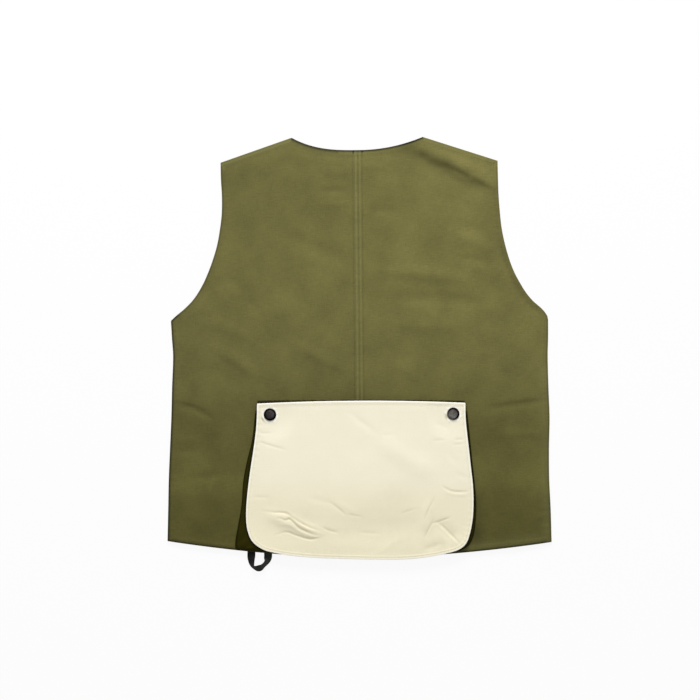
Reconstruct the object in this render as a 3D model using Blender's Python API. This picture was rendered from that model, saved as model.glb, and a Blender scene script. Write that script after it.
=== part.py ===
# Sleeveless hunting vest, laid flat on its fronts with the back up.
# +X is the vest's left to right as it is seen from above, +Y runs from the hem to the neck
# and +Z is up. The origin is on the surface, under the middle of the vest.
# Sizes and tables are in millimetres, and MM turns them into metres.

import math
from collections import namedtuple

import bmesh
import bpy

MM = 0.001

# Driving dimensions
NECK_WIDTH = 190.0
NECK_MIDDLE_X = -3.3
NECK_DROP = 18.5
NECK_CURVE_LEFT = 2.85
NECK_CURVE_RIGHT = 2.1
SHOULDER_WIDTH = 401.6
UNDERARM_WIDTH = 546.0
HEM_WIDTH = 556.0
NECK_POINT_Y = 314.0
SHOULDER_TIP_Y = 278.6
UNDERARM_Y = 48.5
HEM_CORNER_Y = -271.7
HEM_MIDDLE_Y = -295.2
HEM_CURVE = 1.75
# How far the shoulders and the hem tip, as height gained at the right end
TOP_TILT = 1.3
HEM_TILT = -0.7

# Cloth and how the layers lie
CLOTH = 1.5
SEAM_GAP = 0.3
FRONT_TOP = CLOTH
SEAM_TOP = FRONT_TOP + SEAM_GAP + CLOTH
BACK_TOP = 5.0
EDGE_ROLL = 24.0

# Centre back seam, a lapped and felled band that leans a little
SEAM_X_AT_NECK = -3.8
SEAM_LEAN = 0.0087
BAND_WIDTH = 10.5
BAND_RAISE = 0.9
BAND_EASE = 3.0
TUCK = 8.0
SEAM_CALM = 9.0

# Front panels, hidden under the back
FRONT_INSET = 1.2
FRONT_EDGE_GAP = 0.75
FRONT_ARMHOLE_DEEPER = 9.0
FRONT_NECK_DEPTH = 115.0
FRONT_NECK_CURVE = 0.9

# Outer edge of the back from the underarm up.
# Columns: share of the armhole's height, how far the edge lies in from the underarm
# on the left and on the right.
ArmholeRow = namedtuple("ArmholeRow", "share left right")
ARMHOLE = (
    ArmholeRow(0.00, 0.0, -0.4),
    ArmholeRow(0.03, 7.3, 1.2),
    ArmholeRow(0.07, 18.3, 8.4),
    ArmholeRow(0.12, 29.8, 21.4),
    ArmholeRow(0.17, 38.3, 31.1),
    ArmholeRow(0.23, 46.2, 39.8),
    ArmholeRow(0.30, 53.4, 48.4),
    ArmholeRow(0.38, 60.2, 55.6),
    ArmholeRow(0.48, 66.9, 62.2),
    ArmholeRow(0.58, 71.0, 66.9),
    ArmholeRow(0.68, 73.6, 69.5),
    ArmholeRow(0.79, 73.8, 71.4),
    ArmholeRow(0.90, 72.4, 72.3),
    ArmholeRow(1.00, 71.9, 72.8),
)

# Side seam from the hem up. Columns: share of the side's height, edge on the left and right.
SideRow = namedtuple("SideRow", "share left right")
SIDE = (
    SideRow(0.00, 277.9, 278.5),
    SideRow(0.15, 276.9, 277.1),
    SideRow(0.28, 276.1, 275.1),
    SideRow(0.42, 274.3, 274.7),
    SideRow(0.56, 272.4, 275.5),
    SideRow(0.70, 271.3, 273.9),
    SideRow(0.84, 269.8, 272.8),
    SideRow(0.92, 271.5, 273.4),
    SideRow(1.00, 273.0, 273.4),
)

# Largest folds of the back.
# Columns: one end, the other end, height of the ridge or depth of the trough, half width.
Fold = namedtuple("Fold", "x0 y0 x1 y1 height half_width")
FOLDS = (
    Fold(71.0, 301.0, 190.0, 234.5, -2.2, 7.5),
    Fold(103.0, 299.0, 203.0, 262.0, 3.0, 10.0),
    Fold(140.0, 243.0, 200.0, 210.0, 1.4, 12.0),
    Fold(103.0, 176.0, 200.0, 140.0, -1.0, 13.0),
    Fold(12.0, 131.0, 190.0, 112.0, 1.3, 12.0),
    Fold(8.0, 102.0, 140.0, 99.0, -1.2, 12.0),
    Fold(16.0, 70.0, 205.0, 57.0, 1.1, 13.0),
    Fold(-119.0, 201.0, -15.0, 152.0, -1.2, 12.0),
    Fold(-205.0, 128.0, -150.0, 75.0, -1.0, 13.0),
    Fold(-230.0, 56.0, -141.0, -23.0, 1.4, 14.0),
    Fold(-206.0, 2.0, -155.0, -52.0, -1.1, 12.0),
    Fold(-71.0, 20.0, -12.0, -18.0, 1.0, 13.0),
    Fold(-262.0, -190.0, -200.0, -193.0, 1.2, 14.0),
    Fold(185.0, -76.0, 268.0, -68.0, -1.1, 12.0),
)

# Part of the back that stays calm under the pouch
CALM_LEFT = -186.0
CALM_RIGHT = 176.0
CALM_TOP = -58.0
CALM_EASE = 26.0

# Pouch panel: flared sides, round lower corners, bowed top and bottom.
# Columns: share of the side, from the bottom end of its corner up to the top, then its points.
PouchRow = namedtuple("PouchRow", "share left_x left_y right_x right_y")
POUCH_SIDE = (
    PouchRow(0.00, -120.0, -287.5, 123.0, -288.6),
    PouchRow(0.05, -134.2, -284.0, 138.6, -284.2),
    PouchRow(0.10, -146.2, -278.0, 149.3, -278.0),
    PouchRow(0.15, -155.0, -270.0, 155.8, -270.0),
    PouchRow(0.20, -160.4, -260.0, 159.7, -260.0),
    PouchRow(0.25, -163.0, -248.5, 162.3, -248.5),
    PouchRow(0.32, -163.9, -233.0, 164.3, -233.0),
    PouchRow(0.40, -163.0, -213.0, 165.0, -213.0),
    PouchRow(0.50, -160.4, -188.0, 164.0, -188.0),
    PouchRow(0.60, -157.0, -163.0, 161.2, -163.0),
    PouchRow(0.70, -153.2, -138.0, 158.5, -138.0),
    PouchRow(0.80, -149.9, -113.0, 155.6, -113.0),
    PouchRow(0.90, -148.4, -92.0, 153.7, -92.0),
    PouchRow(1.00, -148.1, -71.0, 153.3, -69.7),
)
# Bow of the panel's bottom edge below the line between its corners, by the share across
BowRow = namedtuple("BowRow", "share drop")
POUCH_BOTTOM = (
    BowRow(0.00, 0.0),
    BowRow(0.08, 2.2),
    BowRow(0.16, 4.6),
    BowRow(0.25, 6.7),
    BowRow(0.36, 7.9),
    BowRow(0.50, 8.7),
    BowRow(0.65, 9.0),
    BowRow(0.77, 8.4),
    BowRow(0.85, 6.6),
    BowRow(0.93, 3.6),
    BowRow(1.00, 0.0),
)
POUCH_TOP_Y = -71.0
POUCH_TOP_BOW = 3.6
CORNER_SHARE = 0.25
POUCH_MIDDLE_X = 2.5
POUCH_HALF_WIDTH = 168.0
POUCH_BOTTOM_Y = -297.0
POUCH_HEIGHT = 229.5

# Clear height between the back and the pouch panel.
# Columns: share of the pouch's height, along its middle, along its sides.
LiftRow = namedtuple("LiftRow", "share middle side")
LIFT = (
    LiftRow(0.00, 5.0, 4.9),
    LiftRow(0.12, 7.4, 5.4),
    LiftRow(0.35, 9.2, 5.2),
    LiftRow(0.70, 8.2, 4.2),
    LiftRow(1.00, 6.8, 2.8),
)

# Largest folds of the pouch panel, with the same columns as the back's
POUCH_FOLDS = (
    Fold(-134.0, -232.0, -56.0, -260.0, 2.0, 9.0),
    Fold(-118.0, -259.0, -54.0, -268.0, -1.3, 8.0),
    Fold(-20.0, -220.0, 60.0, -226.0, -1.6, 22.0),
    Fold(28.0, -125.0, 114.0, -176.0, 1.0, 14.0),
    Fold(-12.0, -88.0, 26.0, -118.0, -0.9, 9.0),
    Fold(114.0, -241.0, 140.0, -268.0, -1.4, 8.0),
    Fold(101.0, -212.0, 94.0, -258.0, 1.1, 9.0),
    Fold(122.0, -192.0, 156.0, -202.0, -1.0, 8.0),
)
POUCH_FOLD_MARGIN = 16.0

# Bellows strip of the pouch.
# Columns: share of the panel's side, then the line sewn to the back, left and right.
GussetRow = namedtuple("GussetRow", "share left_x left_y right_x right_y")
GUSSET = (
    GussetRow(0.00, -136.0, -285.3, 133.0, -286.2),
    GussetRow(0.04, -152.0, -283.9, 144.5, -284.6),
    GussetRow(0.09, -167.0, -282.2, 153.0, -280.5),
    GussetRow(0.13, -177.0, -279.3, 159.4, -274.0),
    GussetRow(0.18, -178.8, -270.0, 165.6, -263.0),
    GussetRow(0.25, -175.0, -247.0, 169.4, -242.0),
    GussetRow(0.40, -170.3, -214.0, 170.2, -210.0),
    GussetRow(0.65, -162.5, -157.0, 163.6, -155.0),
    GussetRow(0.94, -151.0, -82.5, 156.6, -82.5),
)
GUSSET_WALL = 1.6
GUSSET_GAP = 0.45
GUSSET_HEM_SETBACK = 2.8
GUSSET_COVER = 2.0
GUSSET_WEB = 4.0
GUSSET_FLANGE = 6.0

# Snaps at the pouch's upper corners
SNAP_LEFT = (-129.3, -87.4)
SNAP_RIGHT = (135.6, -86.3)
SNAP_LIFT = 4.4
SNAP_FLAT = 17.0
SNAP_FLAT_EASE = 14.0
SNAP_CELL = 11.5
CAP_RADIUS = 9.0
CAP_HEIGHT = 3.1
POST_RADIUS = 2.2
POST_HOLE_RADIUS = 2.5
SOCKET_RADIUS = 7.0
SOCKET_HEIGHT = 1.8
RECESS_RADIUS = 3.0
RECESS_DEPTH = 1.2
STUD_RADIUS = 6.2
STUD_FLANGE = 1.6
STUD_NUB_RADIUS = 2.6
SNAP_SIDES = 28

# Tape loop at the hem. Columns: middle of the tape and how far it tips on its edge.
LoopRow = namedtuple("LoopRow", "x y z tip")
LOOP = (
    LoopRow(-156.3, -279.0, 2.4, 0.0),
    LoopRow(-156.5, -290.5, 2.4, 0.0),
    LoopRow(-156.2, -296.5, 3.2, 18.0),
    LoopRow(-155.2, -303.0, 4.6, 42.0),
    LoopRow(-152.0, -309.2, 5.5, 60.0),
    LoopRow(-146.4, -311.8, 5.7, 64.0),
    LoopRow(-139.4, -308.8, 5.5, 60.0),
    LoopRow(-134.2, -303.0, 4.7, 44.0),
    LoopRow(-132.5, -297.5, 3.2, 18.0),
    LoopRow(-132.3, -292.5, 2.4, 0.0),
    LoopRow(-132.5, -279.0, 2.4, 0.0),
)
TAPE_WIDTH = 11.6
TAPE_THICKNESS = 1.2
LOOP_STEPS = 4

# Grid sizes
BACK_ROWS_SIDE = 11
BACK_ROWS_ARMHOLE = 11
BACK_ROWS_SHOULDER = 8
SHOULDER_ZONE = 0.67
BACK_COLUMNS_NECK = 7
BACK_COLUMNS_SHOULDER = 9
FRONT_ROWS_SIDE = 6
FRONT_ROWS_ARMHOLE = 12
FRONT_COLUMNS_NECK = 5
FRONT_COLUMNS_SHOULDER = 5
POUCH_COLUMNS = 26
POUCH_ROWS_CORNER = 8
POUCH_ROWS_SIDE = 13
GUSSET_STEPS_SIDE = 20
GUSSET_STEPS_BOTTOM = 18

# Colours as linear values
OLIVE = (0.150, 0.135, 0.048, 1.0)
CREAM = (0.780, 0.720, 0.560, 1.0)
GUNMETAL = (0.060, 0.056, 0.062, 1.0)
BLACK_TAPE = (0.012, 0.013, 0.010, 1.0)


# Small helpers

def ease(value):
    value = min(1.0, max(0.0, value))
    return value * value * (3.0 - 2.0 * value)


def mix(start, end, share):
    return start + (end - start) * share


def read_table(rows, key, column, along="share"):
    # Smooth curve through one column, read at a value of another column that only rises.
    keys = [getattr(row, along) for row in rows]
    values = [getattr(row, column) for row in rows]
    key = min(max(key, keys[0]), keys[-1])
    last = len(keys) - 2
    index = min(last, max(i for i in range(len(keys)) if keys[i] <= key))
    span = keys[index + 1] - keys[index]
    share = (key - keys[index]) / span

    def slope(i):
        low = max(i - 1, 0)
        high = min(i + 1, len(keys) - 1)
        return (values[high] - values[low]) / (keys[high] - keys[low])

    square = share * share
    cube = square * share
    return (
        (2 * cube - 3 * square + 1) * values[index]
        + (cube - 2 * square + share) * slope(index) * span
        + (3 * square - 2 * cube) * values[index + 1]
        + (cube - square) * slope(index + 1) * span
    )


def material(name, colour, roughness, metallic):
    made = bpy.data.materials.new(name)
    made.use_nodes = True
    shader = made.node_tree.nodes["Principled BSDF"]
    shader.inputs["Base Color"].default_value = colour
    shader.inputs["Roughness"].default_value = roughness
    shader.inputs["Metallic"].default_value = metallic
    made.diffuse_color = colour
    return made


def add_object(name, points, faces, surface, smooth=False):
    mesh = bpy.data.meshes.new(name)
    mesh.from_pydata([(x * MM, y * MM, z * MM) for x, y, z in points], [], faces)
    work = bmesh.new()
    work.from_mesh(mesh)
    bmesh.ops.recalc_face_normals(work, faces=work.faces)
    work.to_mesh(mesh)
    work.free()
    if smooth:
        mesh.shade_smooth()
        mesh.set_sharp_from_angle(angle=math.radians(40))
    mesh.materials.append(surface)
    made = bpy.data.objects.new(name, mesh)
    bpy.context.scene.collection.objects.link(made)
    return made


def add_wall(name, top_rows, thickness, surface):
    # Closed wall under a grid of top points, with the same thickness all over.
    count = len(top_rows)
    width = len(top_rows[0])
    points = [point for row in top_rows for point in row]
    points += [(x, y, z - thickness) for x, y, z in points]
    under = count * width
    faces = []
    for row in range(count - 1):
        for column in range(width - 1):
            corner = row * width + column
            quad = (corner, corner + 1, corner + width + 1, corner + width)
            faces.append(quad)
            faces.append(tuple(under + i for i in reversed(quad)))
    rim = [column for column in range(width)]
    rim += [row * width + width - 1 for row in range(1, count)]
    rim += [(count - 1) * width + column for column in range(width - 2, -1, -1)]
    rim += [row * width for row in range(count - 2, 0, -1)]
    for start, end in zip(rim, rim[1:] + rim[:1]):
        faces.append((start, under + start, under + end, end))
    return add_object(name, points, faces, surface)


def add_turned(name, profile, centre, base, surface):
    # Turned piece: radius and height pairs from the top of the axis to its foot.
    points = []
    rings = []
    for radius, height in profile:
        if radius == 0.0:
            rings.append([len(points)])
            points.append((centre[0], centre[1], base + height))
            continue
        ring = []
        for side in range(SNAP_SIDES):
            angle = 2.0 * math.pi * side / SNAP_SIDES
            ring.append(len(points))
            x = centre[0] + radius * math.cos(angle)
            y = centre[1] + radius * math.sin(angle)
            points.append((x, y, base + height))
        rings.append(ring)
    faces = []
    for upper, lower in zip(rings, rings[1:]):
        for side in range(SNAP_SIDES):
            following = (side + 1) % SNAP_SIDES
            if len(upper) == 1:
                faces.append((upper[0], lower[side], lower[following]))
            elif len(lower) == 1:
                faces.append((upper[side], lower[0], upper[following]))
            else:
                faces.append((upper[side], lower[side], lower[following], upper[following]))
    return add_object(name, points, faces, surface, smooth=True)


# Outline of the back

def outer_edge(y, side):
    # Distance from the middle line to the side seam or the armhole at a height.
    column = "left" if side < 0 else "right"
    if y <= UNDERARM_Y:
        share = (y - HEM_CORNER_Y) / (UNDERARM_Y - HEM_CORNER_Y)
        return read_table(SIDE, share, column)
    share = (y - UNDERARM_Y) / (SHOULDER_TIP_Y - UNDERARM_Y)
    return UNDERARM_WIDTH / 2.0 - read_table(ARMHOLE, share, column)


def top_edge(x):
    # Height of the neckline and of the shoulder lines over the vest's width.
    reach = x - NECK_MIDDLE_X
    share = abs(reach) / (NECK_WIDTH / 2.0)
    tilt = TOP_TILT * x / (SHOULDER_WIDTH / 2.0)
    if share <= 1.0:
        curve = NECK_CURVE_LEFT if reach < 0 else NECK_CURVE_RIGHT
        return NECK_POINT_Y - NECK_DROP * (1.0 - share ** curve) + tilt
    tip = SHOULDER_WIDTH / 2.0 + (NECK_MIDDLE_X if reach < 0 else -NECK_MIDDLE_X)
    run = (abs(reach) - NECK_WIDTH / 2.0) / (tip - NECK_WIDTH / 2.0)
    return mix(NECK_POINT_Y, SHOULDER_TIP_Y, run) + tilt


def hem_edge(x):
    share = min(1.0, abs(x) / (HEM_WIDTH / 2.0))
    tilt = HEM_TILT * x / (HEM_WIDTH / 2.0)
    return mix(HEM_MIDDLE_Y, HEM_CORNER_Y, share ** HEM_CURVE) + tilt


def seam_x(y):
    return SEAM_X_AT_NECK + (NECK_POINT_Y - NECK_DROP - y) * SEAM_LEAN


# Height of the back's upper face

def fold_height(folds, x, y):
    total = 0.0
    for fold in folds:
        along_x = fold.x1 - fold.x0
        along_y = fold.y1 - fold.y0
        length = math.hypot(along_x, along_y)
        run = ((x - fold.x0) * along_x + (y - fold.y0) * along_y) / length
        across = ((x - fold.x0) * along_y - (y - fold.y0) * along_x) / length
        beyond = max(0.0, -run, run - length)
        distance = math.hypot(across, beyond)
        total += fold.height * math.exp(-((distance / fold.half_width) ** 2))
    return total


def calm(x, y):
    beside = max(0.0, CALM_LEFT - x, x - CALM_RIGHT)
    above = max(0.0, y - CALM_TOP)
    return ease(math.hypot(beside, above) / CALM_EASE)


def back_top(x, y):
    side = -1 if x < 0 else 1
    from_side = outer_edge(y, side) - abs(x)
    from_top = top_edge(x) - y
    edge = ease(from_side / EDGE_ROLL) * ease(from_top / EDGE_ROLL)
    seam = seam_x(y)
    away = max(0.0, abs(x - seam) - SEAM_CALM)
    folded = fold_height(FOLDS, seam + math.copysign(away, x - seam), y)
    height = mix(SEAM_TOP, BACK_TOP, edge) + folded * edge * calm(x, y)
    return max(SEAM_TOP, height)


# Walls of the body

def row_shares(side_rows, armhole_rows, shoulder_rows):
    # Shares of the outer edge's height, with a row on the underarm corner.
    underarm = (UNDERARM_Y - HEM_CORNER_Y) / (SHOULDER_TIP_Y - HEM_CORNER_Y)
    zone = mix(underarm, 1.0, SHOULDER_ZONE)
    shares = [underarm * i / side_rows for i in range(side_rows)]
    shares += [mix(underarm, zone, i / armhole_rows) for i in range(armhole_rows)]
    shares += [mix(zone, 1.0, i / shoulder_rows) for i in range(shoulder_rows + 1)]
    return shares


def half_panel(side, shares, inner_x, fixed, neck_columns, shoulder_columns, outer, top, hem):
    # Plan of one half as rows of x and y, from the inner edge to the outer edge.
    tip = outer(SHOULDER_TIP_Y)
    neck_point = NECK_WIDTH / 2.0 + side * NECK_MIDDLE_X
    start = side * inner_x(NECK_POINT_Y) + fixed[-1]
    neck_share = (neck_point - start) / (tip - start)
    spread = [neck_share * i / neck_columns for i in range(1, neck_columns + 1)]
    spread += [mix(neck_share, 1.0, i / shoulder_columns) for i in range(1, shoulder_columns + 1)]

    def reach(column, share):
        outer_y = mix(HEM_CORNER_Y, SHOULDER_TIP_Y, share)
        inner = side * inner_x(mix(HEM_MIDDLE_Y, NECK_POINT_Y - NECK_DROP, share))
        if column < len(fixed):
            return inner + fixed[column]
        across = spread[column - len(fixed)]
        return mix(inner + fixed[-1], outer(outer_y), across)

    rows = []
    for share in shares:
        row = []
        for column in range(len(fixed) + len(spread)):
            low = hem(side * reach(column, 0.0))
            high = top(side * reach(column, 1.0))
            row.append((side * reach(column, share), mix(low, high, share)))
        rows.append(row)
    return rows


def add_back_half(name, side, surface):
    # The right half laps over the left one, so its first strip is the raised band.
    half_band = BAND_WIDTH / 2.0
    if side > 0:
        fixed = (0.0, BAND_WIDTH, BAND_WIDTH + BAND_EASE)
        steps = (BAND_RAISE, BAND_RAISE, 0.0)

        def inner_x(y):
            return seam_x(y) - half_band
    else:
        fixed = (0.0, TUCK + SEAM_GAP, TUCK + SEAM_GAP + BAND_EASE)
        steps = (-BAND_RAISE, -BAND_RAISE, 0.0)

        def inner_x(y):
            return seam_x(y) - half_band + TUCK

    shares = row_shares(BACK_ROWS_SIDE, BACK_ROWS_ARMHOLE, BACK_ROWS_SHOULDER)
    plan = half_panel(
        side, shares, inner_x, fixed, BACK_COLUMNS_NECK, BACK_COLUMNS_SHOULDER,
        lambda y: outer_edge(y, side), top_edge, hem_edge,
    )
    rows = []
    for plan_row in plan:
        row = []
        for column, (x, y) in enumerate(plan_row):
            step = steps[column] if column < len(steps) else 0.0
            row.append((x, y, back_top(x, y) + step))
        rows.append(row)
    return add_wall(name, rows, CLOTH, surface)


def front_outer(y, side):
    share = (y - UNDERARM_Y) / (SHOULDER_TIP_Y - UNDERARM_Y)
    deeper = FRONT_ARMHOLE_DEEPER * math.sin(math.pi * min(1.0, max(0.0, share))) ** 0.8
    return outer_edge(y, side) - FRONT_INSET - deeper


def front_top_edge(x):
    share = abs(x - NECK_MIDDLE_X) / (NECK_WIDTH / 2.0)
    if share >= 1.0:
        return top_edge(x) - FRONT_INSET
    return NECK_POINT_Y - FRONT_INSET - FRONT_NECK_DEPTH * (1.0 - share) ** FRONT_NECK_CURVE


def add_front_half(name, side, surface):
    shares = row_shares(FRONT_ROWS_SIDE, FRONT_ROWS_ARMHOLE, 1)
    plan = half_panel(
        side, shares, lambda y: side * FRONT_EDGE_GAP, (0.0,),
        FRONT_COLUMNS_NECK, FRONT_COLUMNS_SHOULDER,
        lambda y: front_outer(y, side), front_top_edge,
        lambda x: hem_edge(x) + FRONT_INSET,
    )
    rows = [[(x, y, FRONT_TOP) for x, y in plan_row] for plan_row in plan]
    return add_wall(name, rows, CLOTH, surface)


# Pouch

def pouch_side(share, side):
    # Point on the panel's side, from the bottom end of its corner up to the top.
    label = "left" if side < 0 else "right"
    return read_table(POUCH_SIDE, share, label + "_x"), read_table(POUCH_SIDE, share, label + "_y")


def pouch_edge_x(y, side):
    # Side of the panel at a height.
    label = "left" if side < 0 else "right"
    return read_table(POUCH_SIDE, y, label + "_x", along=label + "_y")


def pouch_point(across, share):
    # Point of the panel's plan: across from the left to the right, share from the bottom up.
    left_x, left_y = pouch_side(share, -1)
    right_x, right_y = pouch_side(share, 1)
    top_bow = POUCH_TOP_BOW * (1.0 - (2.0 * across - 1.0) ** 2)
    bow = mix(-read_table(POUCH_BOTTOM, across, "drop"), top_bow, ease(share))
    return mix(left_x, right_x, across), mix(left_y, right_y, across) + bow


def pouch_margin(x, y):
    # Distance to the nearest edge of the panel, roughly.
    side = -1 if x < POUCH_MIDDLE_X else 1
    from_side = side * (pouch_edge_x(y, side) - x)
    return min(from_side, y - POUCH_BOTTOM_Y, POUCH_TOP_Y - y)


def pouch_lift(x, y):
    # Clear height over the back, pinched to the snaps' own height around them.
    share = (y - POUCH_BOTTOM_Y) / POUCH_HEIGHT
    across = min(1.0, abs(x - POUCH_MIDDLE_X) / POUCH_HALF_WIDTH)
    side = read_table(LIFT, share, "side")
    middle = read_table(LIFT, share, "middle")
    inside = ease(pouch_margin(x, y) / POUCH_FOLD_MARGIN)
    lift = mix(side, middle, 1.0 - across ** 3) + fold_height(POUCH_FOLDS, x, y) * inside
    for snap_x, snap_y in (SNAP_LEFT, SNAP_RIGHT):
        away = math.hypot(x - snap_x, y - snap_y) - SNAP_FLAT
        lift = mix(SNAP_LIFT, lift, ease(away / SNAP_FLAT_EASE))
    return lift


def add_pouch_panel(surface):
    top = POUCH_SIDE[-1]
    columns = {i / POUCH_COLUMNS for i in range(POUCH_COLUMNS + 1)}
    for snap_x, snap_y in (SNAP_LEFT, SNAP_RIGHT):
        for line in (snap_x - SNAP_CELL, snap_x + SNAP_CELL):
            wanted = (line - top.left_x) / (top.right_x - top.left_x)
            near = min(columns - {0.0, 1.0}, key=lambda share: abs(share - wanted))
            columns.discard(near)
            columns.add(wanted)
    columns = sorted(columns)
    corner_rows = [CORNER_SHARE * i / POUCH_ROWS_CORNER for i in range(POUCH_ROWS_CORNER)]
    side_rows = [mix(CORNER_SHARE, 1.0, i / POUCH_ROWS_SIDE) for i in range(POUCH_ROWS_SIDE)]
    shares = corner_rows + side_rows[:-1]
    for line in (SNAP_LEFT[1] - SNAP_CELL, SNAP_LEFT[1] + SNAP_CELL):
        shares.append(read_table(POUCH_SIDE, line, "share", along="left_y"))
    shares.append(1.0)
    shares.sort()
    rows = []
    for share in shares:
        row = []
        for across in columns:
            x, y = pouch_point(across, share)
            row.append((x, y, BACK_TOP + pouch_lift(x, y) + CLOTH))
        rows.append(row)
    panel = add_wall("pouch_panel", rows, CLOTH, surface)
    for label, centre in (("left", SNAP_LEFT), ("right", SNAP_RIGHT)):
        bpy.ops.mesh.primitive_cylinder_add(
            vertices=SNAP_SIDES, radius=POST_HOLE_RADIUS * MM, depth=10.0 * CLOTH * MM,
            location=(centre[0] * MM, centre[1] * MM, (BACK_TOP + SNAP_LIFT) * MM),
        )
        cutter = bpy.context.object
        cutter.name = "post_cutter_" + label
        cutter.hide_render = True
        cutter.display_type = "WIRE"
        cut = panel.modifiers.new("post_hole_" + label, "BOOLEAN")
        cut.operation = "DIFFERENCE"
        cut.object = cutter
    return panel


def gusset_path():
    # Stations round the pouch: panel edge and the line sewn to the back.
    stations = []
    top_share = GUSSET[-1].share
    for side, label in ((-1, "left"), (1, "right")):
        half = []
        for i in range(GUSSET_STEPS_SIDE + 1):
            share = top_share * (1.0 - (i / GUSSET_STEPS_SIDE)) ** 1.5
            sewn_x = read_table(GUSSET, share, label + "_x")
            sewn_y = read_table(GUSSET, share, label + "_y")
            half.append((pouch_side(share, side), (sewn_x, sewn_y)))
        stations.append(half)
    left, right = stations
    bottom = []
    for i in range(1, GUSSET_STEPS_BOTTOM):
        across = i / GUSSET_STEPS_BOTTOM
        x = mix(GUSSET[0].left_x, GUSSET[0].right_x, across)
        bottom.append((pouch_point(across, 0.0), (x, hem_edge(x) + GUSSET_HEM_SETBACK)))
    return left + bottom + right[::-1]


def add_pouch_gusset(surface):
    path = gusset_path()
    sections = []
    for index, (edge, sewn) in enumerate(path):
        before = path[max(index - 1, 0)][0]
        after = path[min(index + 1, len(path) - 1)][0]
        run = math.hypot(after[0] - before[0], after[1] - before[1])
        inward = ((before[1] - after[1]) / run, (after[0] - before[0]) / run)
        outside = (edge[0] - sewn[0]) * inward[0] + (edge[1] - sewn[1]) * inward[1]
        cover = max(GUSSET_COVER, GUSSET_WEB - outside)
        crest = (edge[0] + inward[0] * cover, edge[1] + inward[1] * cover)
        flange = (crest[0] + inward[0] * GUSSET_FLANGE, crest[1] + inward[1] * GUSSET_FLANGE)
        off_band = (abs(sewn[0] - seam_x(sewn[1])) - 1.5 * BAND_WIDTH) / BAND_WIDTH
        low = back_top(*sewn) + GUSSET_GAP + BAND_RAISE * (1.0 - ease(off_band))
        crest_low = BACK_TOP + pouch_lift(*crest) - GUSSET_GAP - GUSSET_WALL
        flange_low = BACK_TOP + pouch_lift(*flange) - GUSSET_GAP - GUSSET_WALL
        middle = ((sewn[0] + crest[0]) / 2.0, (sewn[1] + crest[1]) / 2.0)
        line = [
            (sewn[0], sewn[1], low),
            (middle[0], middle[1], (low + crest_low) / 2.0),
            (crest[0], crest[1], crest_low),
            (flange[0], flange[1], flange_low),
        ]
        sections.append([(x, y, z + GUSSET_WALL) for x, y, z in line])
    return add_wall("pouch_gusset", sections, GUSSET_WALL, surface)


# Snaps

def add_snap(label, centre, surface):
    # Cap and socket are one riveted piece that holds the panel between them.
    panel_top = BACK_TOP + SNAP_LIFT + CLOTH
    under = -CLOTH - SEAM_GAP
    foot = under - SOCKET_HEIGHT
    cap = (
        (0.0, CAP_HEIGHT),
        (0.45 * CAP_RADIUS, CAP_HEIGHT - 0.1),
        (0.76 * CAP_RADIUS, CAP_HEIGHT - 0.6),
        (0.93 * CAP_RADIUS, CAP_HEIGHT - 1.4),
        (CAP_RADIUS, CAP_HEIGHT - 2.2),
        (0.97 * CAP_RADIUS, SEAM_GAP + 0.15),
        (0.92 * CAP_RADIUS, SEAM_GAP),
        (POST_RADIUS, SEAM_GAP),
        (POST_RADIUS, under),
        (0.95 * SOCKET_RADIUS, under),
        (SOCKET_RADIUS, under - 0.3),
        (SOCKET_RADIUS, foot + 0.3),
        (0.95 * SOCKET_RADIUS, foot),
        (RECESS_RADIUS, foot),
        (RECESS_RADIUS, foot + RECESS_DEPTH),
        (0.0, foot + RECESS_DEPTH),
    )
    add_turned("snap_cap_" + label, cap, centre, panel_top, surface)
    flange_top = SEAM_GAP + STUD_FLANGE
    nub_top = SNAP_LIFT + CLOTH + foot + RECESS_DEPTH - SEAM_GAP
    stud = (
        (0.0, nub_top),
        (0.8 * STUD_NUB_RADIUS, nub_top),
        (STUD_NUB_RADIUS, nub_top - 0.3),
        (STUD_NUB_RADIUS, nub_top - 0.7),
        (0.85 * STUD_NUB_RADIUS, flange_top),
        (0.95 * STUD_RADIUS, flange_top),
        (STUD_RADIUS, flange_top - 0.3),
        (STUD_RADIUS, SEAM_GAP),
        (0.0, SEAM_GAP),
    )
    add_turned("snap_stud_" + label, stud, centre, BACK_TOP, surface)


# Tape loop

def loop_point(index, share):
    rows = [LOOP[min(max(index + i, 0), len(LOOP) - 1)] for i in (-1, 0, 1, 2)]
    values = []
    for a, b, c, d in zip(*rows):
        values.append(0.5 * (
            2 * b + (c - a) * share
            + (2 * a - 5 * b + 4 * c - d) * share ** 2
            + (3 * b - a - 3 * c + d) * share ** 3
        ))
    return LoopRow(*values)


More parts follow.
